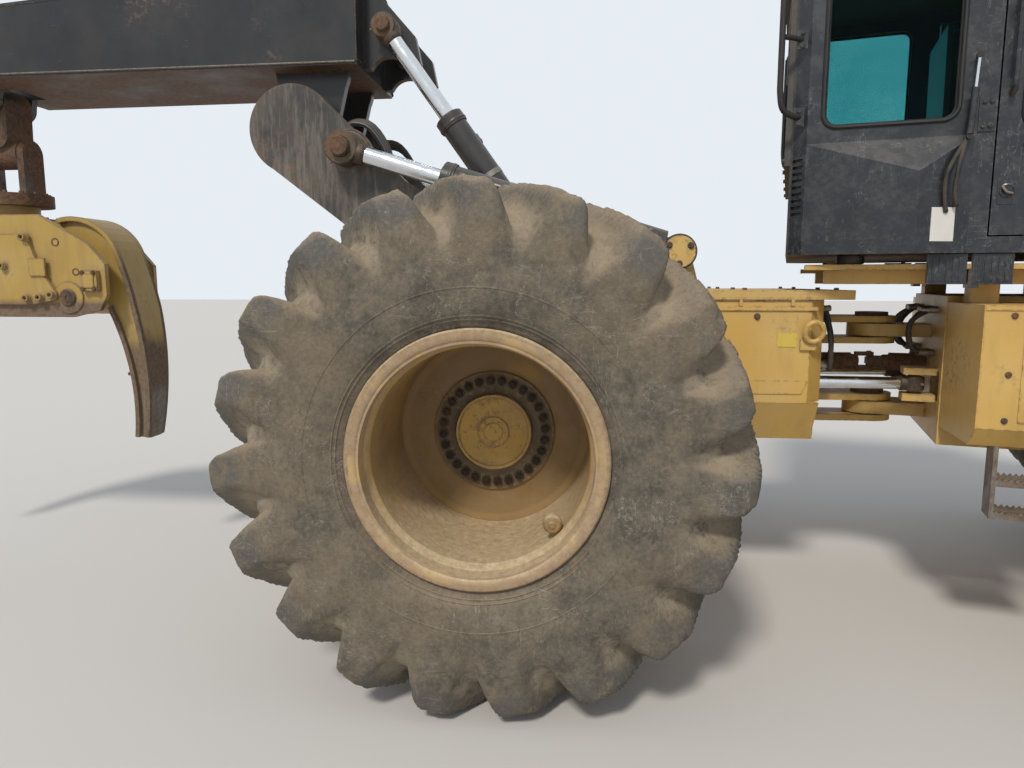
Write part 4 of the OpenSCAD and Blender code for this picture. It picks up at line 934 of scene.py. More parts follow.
# The arch is flame-cut plate under black paint, scuffed to brown at its round heads. Keeper
# plates with two bolts hold the pins, and three hoses pass behind each head.
arch_paint = worn_paint("arch_paint", (0.026, 0.026, 0.028), (0.060, 0.052, 0.044), 0.66, 0.34, 0.7,
                        0.42, 1.3, 0.55)
dress("arch", arch_paint)
ARCH_PIVOT, ARCH_EYE, CROSS_TUBE = (0.400, 1.300), (-0.723, 2.096), (-0.19954, 1.63046)
arch_trim = Part(on_rear)
for side in (-1, 1):
    pin = side_face(*ARCH_PIVOT, 0.480, side)
    arch_trim.lathe([(0.046, -0.002), (0.046, 0.008), (0.040, 0.012), (0, 0.012)], dark_iron, pin,
                    32)
    eye = side_face(*ARCH_EYE, 0.430, side)
    arch_trim.lathe([(0.094, -0.004), (0.094, 0.003), (0.090, 0.0050), (0.070, 0.0050),
                     (0.066, 0.003), (0.064, -0.004)], arch_paint, eye, 40)
    for i in range(3):
        y = side * (0.338 - 0.031 * i)
        add_hose(arch_trim, [(-0.560 - 0.01 * i, y, 1.930), (-0.560, y, 2.010),
                             (-0.585, y * 0.98, 2.120 + 0.01 * i),
                             (-0.665, y * 0.96, 2.225 + 0.012 * i),
                             (-0.765, y * 0.96, 2.235 + 0.010 * i), (-0.845, y * 0.98, 2.160),
                             (-0.880, y, 2.070 + 0.01 * i), (-0.890, y, 2.010)])
    low, high = sorted((side * 0.26, side * 0.361))
    arch_trim.box((-0.600, low, 1.915), (-0.520, high, 1.940), arch_paint)
    arch_trim.box((-0.920, low, 1.985), (-0.860, high, 2.010), arch_paint)
arch_trim.finish("arch_trim", "arch", "black")
bolt_heads("arch_bolts", "arch", "iron", 0.011, dark_iron,
           side_bolts(0.4915, ring(*ARCH_PIVOT, 0.026, (0.8, 3.9))), on_rear)
weld_beads("arch_welds", "arch", "black", arch_paint,
           seams([(x, 0.359, z) for x, z in ring(*CROSS_TUBE, 0.087, turns(24) + [2 * math.pi])])
           + seams([(x, 0.4315, z) for x, z in ring(*ARCH_EYE, 0.096, np.linspace(-0.9, 2.4, 16))]),
           on_rear)

# The boom is a black plate box beam. A weld runs along each lower edge and up the joint with
# its nose, its underside is brown with rust, and the ram eyes have rusty bosses.
boom_paint = worn_paint("boom_paint", (0.011, 0.012, 0.015), (0.022, 0.024, 0.029), 0.36, 0.10,
                        0.80, 0.28)
dress("boom", boom_paint)
rusty_boss = bare_steel("rusty_boss", (0.055, 0.043, 0.035), (0.145, 0.112, 0.083), 0.6, 0.55)
# The pale strip along each lower edge of the boom is a painted highlight of that edge, partly dust lying on its
# ledge.
dusty_edge_highlight = bare_steel("dusty_edge_highlight", (0.075, 0.070, 0.062), (0.22, 0.195, 0.160), 0.6, 0.35)
BOOM_PIVOT, BOOM_EYE = (-0.990, 2.200), (-0.583, 2.673)
boom_trim = Part(on_rear)
for side in (-1, 1):
    boss = side_face(*BOOM_EYE, 0.220, side)
    boom_trim.lathe([(0.060, -0.002), (0.060, 0.004), (0.054, 0.0055), (0.040, 0.0055),
                     (0.037, 0.002), (0.035, -0.002)], rusty_boss, boss, 40)
    pivot_cap = side_face(*BOOM_PIVOT, 0.220, side)
    boom_trim.lathe([(0.112, -0.002), (0.112, 0.010), (0.106, 0.014), (0.070, 0.014),
                     (0.066, 0.010), (0.0515, 0.010), (0.0515, -0.002)], rusty_boss, pivot_cap, 48)
    # Painted highlight, partly dust: the pale strip along the lower edge.
    boom_trim.tube([(-2.690, side * 0.3325, 2.4990), (-0.716, side * 0.3325, 2.5155)], 0.0055,
                   dusty_edge_highlight, sides=8)
    boom_trim.prism([(-2.700, 2.7855), (-0.716, 2.9425), (-0.716, 2.9550), (-2.700, 2.7975)],
                    side * 0.326 - 0.006, side * 0.326 + 0.006, boom_paint, bevel=0.002)
lines = Part(on_rear)
clamps = [(-0.80 - 1.80 * t, 2.949 - 0.1425 * t) for t in (0.12, 0.42, 0.72, 0.94)]
for y in (-0.085, -0.045, 0.045, 0.085):
    lines.tube([(-0.80, y, 2.968), (-1.55, y, 2.908), (-2.45, y, 2.837), (-2.62, y, 2.826)], 0.0105,
               worn_steel, sides=10)
    add_hose(lines, [(-0.815, y, 2.968), (-0.740, y, 2.972), (-0.700, y * 1.2, 2.955),
                     (-0.676, y * 1.3, 2.900), (-0.672, y * 1.3, 2.840), (-0.665, y * 1.3, 2.790)],
             0.012)
for x, z in clamps:
    lines.box((x - 0.02, -0.115, z - 0.004), (x + 0.02, 0.115, z + 0.034), black_paint, bevel=0.006)
lines.finish("boom_lines", "boom", "black")
boom_trim.finish("boom_trim", "boom", "black")
weld_beads("boom_welds", "boom", "black", boom_paint,
           seams([(x, 0.3315, 2.4995 + 0.016 * (x + 2.69) / 1.974)
                  for x in np.linspace(-2.66, -0.73, 22)])
           + seams([(-0.709, 0.3315, z) for z in np.linspace(2.52, 2.94, 9)])
           + seams([(-0.7085, y, 2.530) for y in np.linspace(0.225, 0.325, 5)]), on_rear, 0.0052)
bolt_heads("boom_bolts", "boom", "iron", 0.010, dark_iron, [
    ((x, side * y, z + 0.034), (0, 0, 1)) for x, z in clamps for side in (-1, 1)
    for y in (0.005, 0.102)], on_rear)


# A ram is a black tube with a gland screwed into its mouth and oil ports at both ends. Its rod
# is hard chrome, welded to a forged eye that has browned, and its pin is held in the eye.
def ram_axis(half, a, b, y):
    turn = math.atan2(b[0] - a[0], b[1] - a[1])
    return half @ shifted(a[0], y, a[1]) @ spun(turn, "Y")


def flat_axis(a, b, z):
    turn = math.atan2(b[1] - a[1], b[0] - a[0])
    return (shifted(a[0], a[1], z) @ spun(turn, "Z") @ spun(math.pi / 2, "Y")
            @ spun(math.pi / 2, "Z"))


def dress_rod(part, place, bore, rod_r, length, pin_r, pin_w):
    half_eye, eye_r, half_pin, ease = bore * 0.67, pin_r * 1.8, pin_w / 2, 0.006
    lying = place @ across
    part.lathe([(0, pin_r * 2.0), (rod_r, pin_r * 2.0), (rod_r, length), (0, length)], chrome_rod,
               place, 40)
    part.lathe([(rod_r * r, pin_r * z) for r, z in ((1.02, 1.15), (1.22, 1.2), (1.26, 2.1),
                                                    (1.12, 2.45), (0.995, 2.55))], rusty_boss,
               place, 32)
    part.lathe([(pin_r * 0.99, half_eye - 0.004), (pin_r * 1.10, half_eye),
                (eye_r - ease, half_eye), (eye_r, half_eye - ease), (eye_r, -half_eye + ease),
                (eye_r - ease, -half_eye), (pin_r * 1.10, -half_eye),
                (pin_r * 0.99, -half_eye + 0.004)], rusty_boss, lying, 40)
    part.lathe([(0, -half_pin), (pin_r - 0.004, -half_pin), (pin_r, -half_pin + 0.004),
                (pin_r, half_pin - 0.004), (pin_r - 0.004, half_pin), (0, half_pin)], dark_iron,
               lying, 32)
    part.lathe([(0, eye_r - 0.002), (0.007, eye_r - 0.002), (0.007, eye_r + 0.008),
                (0.004, eye_r + 0.014), (0, eye_r + 0.014)], worn_steel, place
               @ spun(math.radians(118), "Y"), 8)


def dress_barrel(part, place, tube_r, rod_r, length, pin_r, port_turn):
    """The gland and its collar; with a turn also the two ports and the pipe between them."""
    part.lathe([(rod_r + 0.0015, length - 0.012), (rod_r + 0.0015, length + 0.003),
                (rod_r + 0.006, length + 0.006), (tube_r * 0.80, length + 0.006),
                (tube_r * 0.86, length + 0.002), (tube_r * 0.86, length - 0.012)], worn_steel,
               place, 40)
    part.lathe([(tube_r + 0.0062, length - 0.049), (tube_r + 0.0085, length - 0.045),
                (tube_r + 0.0085, length - 0.038), (tube_r + 0.0062, length - 0.034)], black_paint,
               place, 48)
    if port_turn is None:
        return
    turned = place @ spun(port_turn, "Z")
    low, high = pin_r * 1.65 + 0.085, length - 0.095
    for z in (pin_r * 1.65 + 0.05, high):
        part.lathe([(0, 0), (0.019, 0), (0.019, 0.012), (0.015, 0.015), (0, 0.015)], black_paint,
                   turned @ shifted(tube_r - 0.004, 0, z) @ spun(math.pi / 2, "Y"), 20)
    off = tube_r + 0.019
    part.tube([(tube_r + 0.008, 0, high), (off, 0, high - 0.004), (off + 0.002, 0, high - 0.02),
               (off, 0, high - 0.05), (off, 0, (low + high) / 2), (off, 0, low + 0.03),
               (off, 0.012, low), (off - 0.004, 0.022, low - 0.012)], 0.008, worn_steel, turned, 10,
              smooth_path=26)
    for t in (0.22, 0.74):
        z = low + (high - low) * t
        part.lathe([(tube_r + 0.0004, z - 0.014), (tube_r + 0.0028, z - 0.012),
                    (tube_r + 0.0028, z + 0.012), (tube_r + 0.0004, z + 0.014)], worn_steel, place,
                   48)
        part.box((tube_r - 0.002, -0.016, z - 0.012), (off + 0.011, 0.016, z + 0.012), dark_iron,
                 turned, 0.003)


rams = [
    # name, half, base, eye, bore, rod, barrel length, rod's overlap in it, distance from the
    # middle, base pin, eye pin and its width, turn of the ports
    ("arch", on_rear, (0.750, 1.638), ARCH_EYE, 0.072, 0.038, 1.080, 0.250, 0.515,
     0.042, 0.042, 0.158, 1.2),
    ("boom", on_rear, ARCH_PIVOT, BOOM_EYE, 0.062, 0.036, 1.190, 0.340, 0.290,
     0.050, 0.032, 0.128, -1.0),
    ("blade", on_front, (2.560, 1.340), (2.750, 0.700), 0.050, 0.028, 0.390, 0.155, 0.315,
     0.025, 0.025, 0.066, 0.0),
]
for name, half, base, eye, bore, rod_r, length, overlap, y, base_pin, pin_r, pin_w, port in rams:
    rods, barrels = Part(), Part()
    rod_length = math.dist(base, eye) - length + overlap
    for side in (-1, 1):
        dress_rod(rods, ram_axis(half, eye, base, side * y), bore, rod_r, rod_length, pin_r, pin_w)
        dress_barrel(barrels, ram_axis(half, base, eye, side * y), bore, rod_r, length, base_pin,
                     port * side)
    rods.finish("chrome_rods_" + name, name + "_rods", "chrome_rod", name + "_rods")
    barrels.finish("ram_fittings_" + name, name + "_barrels", "black")

STEER_BASE, STEER_EYE, STEER_Z = (0.760, 0.250), (0.165, 0.280), 1.050
for side, hand in ((-1, "right"), (1, "left")):
    on_hitch = Vector((STEER_EYE[0], side * STEER_EYE[1], 0))
    eye = shifted(HITCH_X, 0, 0) @ spun(parked_angle, "Z") @ on_hitch
    eye, base = eye.xy, (STEER_BASE[0], side * STEER_BASE[1])
    rods, barrels = Part(on_rear), Part(on_rear)
    dress_rod(rods, flat_axis(eye, base, STEER_Z), 0.050, 0.028, 0.800, 0.025, 0.080)
    dress_barrel(barrels, flat_axis(base, eye, STEER_Z), 0.035, 0.028, 0.660, 0.025, 1.4 * side)
    rods.finish("chrome_steering_rod_" + hand, "steer_rod_" + hand, "chrome_rod", "steer_rod_"
                + hand)
    barrels.finish("steering_ram_fittings_" + hand, "steer_barrel_" + hand, "black")


# The grapple is dusty yellow over brown. Its head has bolted side covers with socket bosses and a
# square block, and its lower edge is scraped to rust by the logs.
def scraped_yellow(name, rust_top, rust_low, bare_top=None, bare_low=None):
    """Yellow gone to rust below a height, and to bare steel below another."""
    s = Surface(name)
    broad = s.noise(3.4, 6, seed=2.2)
    fine = s.noise(46, 7, rough=0.72)
    streak = s.noise(22, 5, stretch=(1, 1, 0.14), seed=1.9)
    s.colour = s.mix(s.step(broad, 0.35, 0.66), (0.41, 0.262, 0.056), (0.46, 0.318, 0.105))
    s.coat(s.step(streak, 0.5, 0.72), (0.27, 0.17, 0.07), 0.35)
    rust = s.mix(s.step(fine, 0.28, 0.70), (0.085, 0.056, 0.038), (0.235, 0.165, 0.105))
    height = s.plus(s.step(s.at("Z"), rust_top, rust_low), s.times(s.minus(broad, 0.5), 1.1))
    worn = s.step(height, 0.42, 0.62)
    worn = s.either(worn, s.times(s.edge(0.012), s.step(fine, 0.38, 0.50)))
    worn = s.either(worn, s.times(s.step(broad, 0.56, 0.66), s.step(fine, 0.50, 0.60)))
    s.coat(worn, rust)
    metal = None
    if bare_top is not None:
        bare = s.plus(s.step(s.at("Z"), bare_top, bare_low), s.times(s.minus(broad, 0.5), 0.8))
        bare = s.times(s.step(bare, 0.45, 0.60),
                       s.step(s.noise(12, 5, stretch=(1, 1, 0.2), seed=5), 0.30, 0.55))
        s.coat(bare, s.mix(s.step(fine, 0.3, 0.7), (0.20, 0.19, 0.17), (0.36, 0.345, 0.315)))
        metal = s.times(bare, 0.7)
    up = s.times(s.step(s.facing("Z"), 0.3, 0.9), s.step(broad, 0.2, 0.5))
    s.coat(s.either(s.times(up, 0.8), s.times(s.hollow(0.08), 0.6)), (0.33, 0.235, 0.14))
    s.bump(s.plus(s.times(fine, -0.6), s.times(streak, 0.3)), 0.003)
    return s.finish(s.blend(worn, 0.52, 0.85), metal)


head_paint = scraped_yellow("head_paint", 1.50, 1.33)
tong_paint = scraped_yellow("tong_paint", 1.42, 0.98, 1.15, 0.72)
tong_flange = scraped_yellow("tong_flange", 1.95, 1.35)
dress("grapple_head", head_paint)
dress("tong_front", tong_paint)
dress("tong_rear", tong_paint)
GRAPPLE_X = -2.720
HEAD_FACE = 0.252
on_grapple = on_rear @ shifted(GRAPPLE_X, 0, 0)
head_trim = Part(on_grapple)
bosses = [(0.238, 1.735), (0.114, 1.592), (0.230, 1.428), (0.301, 1.432), (0.366, 1.444)]
for side in (-1, 1):
    for flip in (1, -1):
        for x, z in bosses:
            head_trim.lathe([(0.024, -0.004), (0.024, 0.003), (0.019, 0.006), (0.019, 0.026),
                             (0.017, 0.028), (0.0115, 0.028), (0.010, 0.026), (0.010, 0.010),
                             (0, 0.010)], head_paint, side_face(flip * x, z, HEAD_FACE, side), 20)
        for x, z, r in ((0.387, 1.710, 0.015), (0.486, 1.560, 0.013)):
            head_trim.lathe([(r + 0.006, -0.001), (r + 0.006, 0.002), (r, 0.002),
                             (r * 0.9, -0.0015), (0, -0.0015)], dark_iron,
                            side_face(flip * x, z, 0.230, side), 20)
        pin = side_face(flip * 0.440, 1.430, 0.240, side)
        head_trim.lathe([(0.044, -0.002), (0.044, 0.004), (0.038, 0.009), (0.012, 0.009),
                         (0.010, 0.004), (0, 0.004)], dark_iron, pin, 32)
        head_trim.box((flip * 0.299 - 0.044, side * 0.257 - 0.006, 1.540),
                      (flip * 0.299 + 0.044, side * 0.257 + 0.006, 1.628), head_paint, bevel=0.005)
        head_trim.box((flip * 0.570 - 0.030, side * 0.262 - 0.004, 1.480),
                      (flip * 0.570 + 0.030, side * 0.262 + 0.004, 1.550), head_paint, bevel=0.004)
head_trim.finish("grapple_head_covers", "grapple_head", "yellow")
bolt_heads("grapple_head_bolts", "grapple_head", "iron", 0.011, dark_iron, [
    ((x, y, 1.850), (0, 0, 1)) for x, y in ring(0, 0, 0.145, turns(12))]
    + side_bolts(0.260, [(flip * x, z) for flip in (-1, 1)
                         for z in (1.475, 1.555) for x in (0.540, 0.600)]), on_grapple)
weld_beads("grapple_head_welds", "grapple_head", "yellow", head_paint,
           seams([(x, 0.2015, 1.361) for x in np.linspace(-0.195, 0.195, 8)])
           + seams([(x, 0.2015, 1.819) for x in np.linspace(-0.155, 0.155, 7)]), on_grapple)


def rail(part, path, near, far, thick, look):
    """A flat bar along a side-view path, standing out from a curved plate's side."""
    points, faces = [], []
    last = len(path) - 1
    for k, (x, z) in enumerate(path):
        ax, az = path[max(k - 1, 0)]
        bx, bz = path[min(k + 1, last)]
        size = math.hypot(bx - ax, bz - az)
        nx, nz = -(bz - az) / size * thick, (bx - ax) / size * thick
        points += [(x, near[k], z), (x, far[k], z), (x + nx, far[k], z + nz),
                   (x + nx, near[k], z + nz)]
    for a in range(0, 4 * last, 4):
        faces += [(a + i, a + j, a + 4 + j, a + 4 + i) for i, j in around(4)]
    faces += [(0, 1, 2, 3), tuple(4 * last + i for i in (3, 2, 1, 0))]
    part.add(points, faces, look)


def arc_points(centre, radius, start, end, count):
    return ring(*centre, radius, [math.radians(a) for a in np.linspace(start, end, count)])


# Each tong is a curved box with flanges along its back and its inner edge, and it thins
# towards its tip.
CROWN = (0.400, 1.590)
BACK = (CROWN[0] - 1.642 * math.cos(math.radians(20)),
        CROWN[1] - 1.642 * math.sin(math.radians(20)))
outer_edge = arc_points(CROWN, 0.2580, 108, 20, 14) + arc_points(BACK, 1.8995, 19, -10.9, 22)
inner_edge = arc_points((-0.624, 0.893), 1.2875, -9.8, 22, 24)


def tong_half(z):
    return 0.100 - 0.050 * min(1.0, max(0.0, (1.360 - z) / 0.720))


for name, flip in (("tong_front", 1), ("tong_rear", -1)):
    tong = Part(on_grapple @ Matrix.Scale(flip, 4, (1, 0, 0)))
    for side in (-1, 1):
        for path, thick in ((outer_edge, -0.024), (inner_edge, -0.022)):
            near = [side * (tong_half(z) - 0.004) for x, z in path]
            far = [side * (tong_half(z) + 0.024) for x, z in path]
            rail(tong, path, near, far, thick, tong_flange)
        tong.lathe([(0.010, -0.002), (0.010, 0.003), (0.006, 0.0035), (0.004, 0.001), (0, 0.001)],
                   dark_iron, side_face(0.640, 1.02, tong_half(1.02), side), 14)
    tong.finish(name + "_flanges", name, "yellow")

# The tong ram lies across the head between the two tongs. The opened tongs close round it, so
# its barrel carries no pipe, only the gland and its collar.
TONG_BASE, TONG_EYE = (-0.400, 1.570), (0.400, 1.570)
rods, barrels = Part(), Part()
dress_rod(rods, ram_axis(on_grapple, TONG_EYE, TONG_BASE, 0), 0.050, 0.028, 0.530, 0.026, 0.100)
dress_barrel(barrels, ram_axis(on_grapple, TONG_BASE, TONG_EYE, 0), 0.050, 0.028, 0.515, 0.026,
             None)
rods.finish("chrome_rod_tong", "tong_rod", "chrome_rod", "tong_rod")
barrels.finish("ram_fittings_tong", "tong_barrel", "black")

# The crosshead and the yoke carry the rotator under the boom's tip. Their pins have keeper
# bolts, and the rotator's flange is ringed with bolts.
KEEPERS = 0.3, 3.4
bolt_heads("crosshead_bolts", "crosshead", "iron", 0.010, dark_iron,
           side_bolts(0.150, ring(0, 2.440, 0.024, KEEPERS)), on_grapple)
bolt_heads("yoke_bolts", "yoke", "iron", 0.013, dark_iron, [
    ((x, y, 1.971), (0, 0, 1)) for x, y in ring(0, 0, 0.162, turns(14, 0.5))] + [
    ((side * 0.133, y, z), (side, 0, 0))
    for side in (-1, 1) for y, z in ring(0, 2.180, 0.022, KEEPERS)], on_grapple)

# The front frame carries a lidded box on the right and the fuel tank on the left. Hoses loop at
# the hitch, and the box has bolts down its rear edge.
front_trim = Part(on_front)
BOX_SIDE = 0.850
shaft_joint = shifted(0, 0, SHAFT_Z)
front_trim.lathe([(0, 0.056), (0.030, 0.056), (0.034, 0.064), (0.034, 0.085), (0.044, 0.090),
                  (0.044, 0.180), (0.062, 0.184), (0.062, 0.206), (0.044, 0.210), (0.044, 0.252),
                  (0, 0.252)], dark_iron, shaft_joint @ spun(math.pi / 2, "Y"), 32)
for side in (-1, 1):
    front_trim.prism([(0.064, -0.024), (0.010, -0.024), (-0.014, -0.016), (-0.014, 0.016),
                      (0.010, 0.024), (0.064, 0.024)], side * SHAFT_EARS_Y - 0.009,
                     side * SHAFT_EARS_Y + 0.009, dark_iron, shaft_joint, 0.004)
for side, lid_high in ((-1, 1.385), (1, 1.150)):
    mirror = flipped(-side)
    front_trim.box((0.435, -BOX_SIDE - 0.0045, 0.985), (0.765, -BOX_SIDE + 0.004, lid_high),
                   yellow_paint, mirror, 0.004)
    front_trim.box((0.305, -BOX_SIDE - 0.004, 1.404), (0.790, -BOX_SIDE + 0.030, 1.4235),
                   yellow_paint, mirror, 0.003)
    for x in (0.470, 0.690):
        front_trim.tube([(x, -BOX_SIDE - 0.012, lid_high + 0.001),
                         (x + 0.055, -BOX_SIDE - 0.012, lid_high + 0.001)], 0.0085, dark_iron,
                        mirror, 10)
    front_trim.box((0.575, -BOX_SIDE - 0.011, 1.010), (0.625, -BOX_SIDE - 0.003, 1.072), dark_iron,
                   mirror, 0.004)
    front_trim.tube([(0.588, -BOX_SIDE - 0.012, 1.055), (0.590, -BOX_SIDE - 0.026, 1.046),
                     (0.610, -BOX_SIDE - 0.026, 1.046), (0.612, -BOX_SIDE - 0.012, 1.055)], 0.0045,
                    worn_steel, mirror, 8, smooth_path=12)
    front_trim.box((0.262, -0.722, 1.486), (0.300, -0.640, 1.560), black_paint, mirror, 0.004)
    for x in (0.120, 0.275):
        front_trim.box((x, -0.7245, 1.500), (x + 0.135, -0.690, 1.6165), cab_paint, mirror, 0.005)
        for i in range(5):
            front_trim.box((x + 0.016 + i * 0.023, -0.7285, 1.512),
                           (x + 0.026 + i * 0.023, -0.7225, 1.604), cab_paint, mirror, 0.002)
    for i in range(3):
        y = side * (0.150 + 0.040 * i)
        add_hose(front_trim, [(0.246, y, 1.385), (0.205, y, 1.378),
                              (0.155 - 0.008 * i, y * 1.05, 1.320),
                              (0.150, y * 1.08, 1.235 - 0.01 * i), (0.190, y * 1.04, 1.190),
                              (0.246, y, 1.186)])
    for x in (-0.155, 0.845):
        front_trim.lathe([(0.030, 0), (0.052, 0.002), (0.056, 0.018), (0.052, 0.036),
                          (0.030, 0.038)], hose_black, shifted(x, side * 0.635, 1.5805), 24)
front_trim.finish("front_frame_trim", "front_frame", "yellow")
bolt_heads("front_frame_bolts", "front_frame", "iron", 0.0095, dark_iron,
           side_bolts(0.8505, [(0.398, 1.385), (0.394, 1.165), (0.394, 0.990),
                               (0.775, 1.230), (0.775, 1.000)])
           + side_bolts(0.4205, [(1.20, 1.35), (1.20, 1.10), (1.60, 1.35),
                                 (2.05, 1.35), (2.30, 1.35), (2.30, 1.10)])
           + [((x, side * 0.585, 1.5805), (0, 0, 1))
              for side in (-1, 1) for x in (-0.25, 0.05, 0.35, 0.65)], on_front)
weld_beads("front_frame_welds", "front_frame", "yellow", yellow_paint,
           seams([(0.249, 0.106, z) for z in (0.872, 0.890, 0.910, 0.928)])
           + seams([(x, 0.4215, 0.9415) for x in np.linspace(2.18, 2.72, 8)]), on_front)
worn_tread = bare_steel("worn_tread", (0.17, 0.155, 0.135), (0.34, 0.31, 0.27), 0.45, 0.6)
dress("steps", worn_tread)


# The cab is a black welded frame. It has a rubber seal round each window, a grab rail at its
# rear corner, a gas strut beside the door, and round work lamps in its roof.
def rounded_loop(x0, x1, z0, z1, r, y, count=6):
    """A closed loop with rounded corners in a side plate at y."""
    points = []
    for x, z, start in ((x1 - r, z1 - r, 0), (x0 + r, z1 - r, 90), (x0 + r, z0 + r, 180),
                        (x1 - r, z0 + r, 270)):
        corner = [math.radians(start + 90 * i / count) for i in range(count + 1)]
        points += [(px, y, pz) for px, pz in ring(x, z, r, corner)]
    return points


def seal_rubber():
    s = Surface("seal_rubber", 0.6)
    dusty = s.step(s.noise(12, 5, seed=6.0), 0.42, 0.7)
    s.colour = s.mix(s.times(dusty, 0.5), (0.010, 0.010, 0.011), (0.060, 0.050, 0.038))
    s.bump(s.noise(240, 2), 0.0004)
    return s.finish(s.blend(dusty, 0.5, 0.85))


window_seal = seal_rubber()
blank_label = worn_paint("blank_label", (0.78, 0.77, 0.74), (0.70, 0.68, 0.63), 0.15, 0.35,
                         gloss=0.4)
CAB_Y = 0.735
CAB_REAR, CAB_FRONT, ROOF_Z = -0.410, 1.150, 3.080
cab_trim = Part(on_front)
for side in (-1, 1):
    mirror = flipped(-side)
    cab_trim.tube(rounded_loop(-0.294, 0.184, 2.121, 2.874, 0.054, -CAB_Y - 0.001), 0.0095,
                  window_seal, mirror, 8, closed=True)
    cab_trim.tube(rounded_loop(-0.286, 0.176, 2.129, 2.866, 0.048, -CAB_Y + 0.018), 0.006,
                  window_seal, mirror, 8, closed=True)
    cab_trim.tube([(-0.384, -0.731, 2.170), (-0.412, -0.765, 2.172), (-0.446, -0.788, 2.195),
                   (-0.458, -0.796, 2.250), (-0.460, -0.797, 2.34), (-0.460, -0.797, 2.76),
                   (-0.456, -0.794, 2.80), (-0.440, -0.785, 2.832), (-0.412, -0.765, 2.842),
                   (-0.384, -0.731, 2.842)], 0.0125, window_seal, mirror, 12, smooth_path=44)
    cab_trim.tube([(-0.384, -0.731, 2.470), (-0.425, -0.772, 2.470), (-0.459, -0.796, 2.470)],
                  0.0105, window_seal, mirror, 12)
    for z in (2.170, 2.470, 2.842):
        cab_trim.box((-0.404, -0.739, z - 0.036), (-0.364, -0.733, z + 0.036), cab_paint, mirror,
                     0.003)
    cab_trim.tube([(0.232, -0.772, 2.335), (0.226, -0.772, 2.200)], 0.0065, chrome_rod, mirror, 12)
    cab_trim.tube([(0.227, -0.772, 2.225), (0.219, -0.772, 2.060)], 0.0125, cab_paint, mirror, 16)
    for x, z in ((0.232, 2.340), (0.219, 2.052)):
        cab_trim.lathe([(0, 0.045), (0.012, 0.045), (0.012, 0.032), (0.006, 0.030), (0.006, 0),
                        (0, 0)], window_seal, mirror @ shifted(x, -0.734, z) @ across, 14)
    for drop in (0, 1):
        x = 0.186 - 0.034 * drop
        cab_trim.tube([(0.212, -0.742, 2.052), (0.208, -0.766, 2.035),
                       (0.5 * (x + 0.208), -0.782, 1.985), (x, -0.790, 1.915),
                       (x - 0.004, -0.789, 1.850), (x + 0.004, -0.782, 1.805 - 0.02 * drop),
                       (x + 0.008, -0.772, 1.798 - 0.02 * drop)], 0.0085, hose_black, mirror, 10,
                      smooth_path=30)
    facing = math.atan2(0.080, 0.190)
    label = mirror @ shifted(0.150, -0.7755, 1.728) @ spun(facing, "Z")
    cab_trim.box((-0.046, -0.0022, -0.064), (0.046, 0.002, 0.064), blank_label, label, 0.0008)
    for z in (1.850, 2.650):
        cab_trim.box((1.085, -0.7395, z - 0.060), (1.145, -0.733, z + 0.060), cab_paint, mirror,
                     0.003)
    cab_trim.box((0.250, -0.741, 2.070), (0.306, -0.733, 2.200), cab_paint, mirror, 0.003)
    cab_trim.box((-0.345, -0.740, 1.625), (0.240, -0.7335, 1.650), cab_paint, mirror, 0.002)
    cab_trim.tube([(CAB_REAR - 0.05, -0.757, 2.935), (CAB_FRONT + 0.10, -0.757, 2.935)], 0.006,
                  window_seal, mirror, 8)
cab_trim.box((CAB_REAR + 0.02, -0.20, ROOF_Z - 0.02), (CAB_REAR + 0.10, 0.20, ROOF_Z - 0.001),
             cab_paint, bevel=0.006)
for y in (-0.2, 0.2):
    cab_trim.box((CAB_REAR + 0.32, y - 0.12, ROOF_Z - 0.012),
                 (CAB_REAR + 0.86, y + 0.12, ROOF_Z - 0.0005), cab_paint, bevel=0.004)
cab_trim.finish("cab_trim", "front_frame", "black")
bolt_heads("cab_bolts", "front_frame", "black", 0.009, cab_paint,
           side_bolts(0.7395, [(x, z) for x in (1.097, 1.133)
                               for z in (1.805, 1.895, 2.605, 2.695)])
           + side_bolts(0.741, [(x, z) for x in (0.266, 0.290) for z in (2.090, 2.180)])
           + side_bolts(0.7395, [(-0.384, z) for z in (2.146, 2.194, 2.446, 2.494, 2.818, 2.866)]),
           on_front)


def lamp_glass():
    s = Surface("lamp_lens", 0.12)
    s.shader.inputs["Coat Weight"].default_value = 0.6
    rings = s.node("ShaderNodeTexWave", {"Vector": s.place, "Scale": 42.0}, wave_type="BANDS",
                   bands_direction="Y").outputs["Fac"]
    dusty = s.step(s.noise(14, 5), 0.42, 0.7)
    s.colour = s.mix(s.times(dusty, 0.4), s.mix(rings, (0.42, 0.44, 0.46), (0.72, 0.74, 0.76)),
                     (0.40, 0.33, 0.24))
    s.bump(rings, 0.002)
    return s.finish(s.blend(dusty, 0.10, 0.5))


lamp_lens = lamp_glass()
lamps = Part(on_front)
for y in (-0.560, -0.330, 0.330, 0.560):
    for x, turn in ((CAB_FRONT + 0.1602, math.pi / 2), (CAB_REAR - 0.0802, -math.pi / 2)):
        aim_at = shifted(x, y, 2.9973) @ spun(turn, "Y")
        lamps.lathe([(0.0620, -0.040), (0.0632, -0.004), (0.0620, 0.0030), (0.0570, 0.0040),
                     (0.0540, 0.0010), (0.0530, -0.003)], black_paint, aim_at, 40)
        lamps.lathe([(0.0545, -0.002), (0.040, 0.0005), (0.020, 0.0020), (0, 0.0024)], lamp_lens,
                    aim_at, 40)
lamps.finish("work_lamps", "front_frame", "glass")

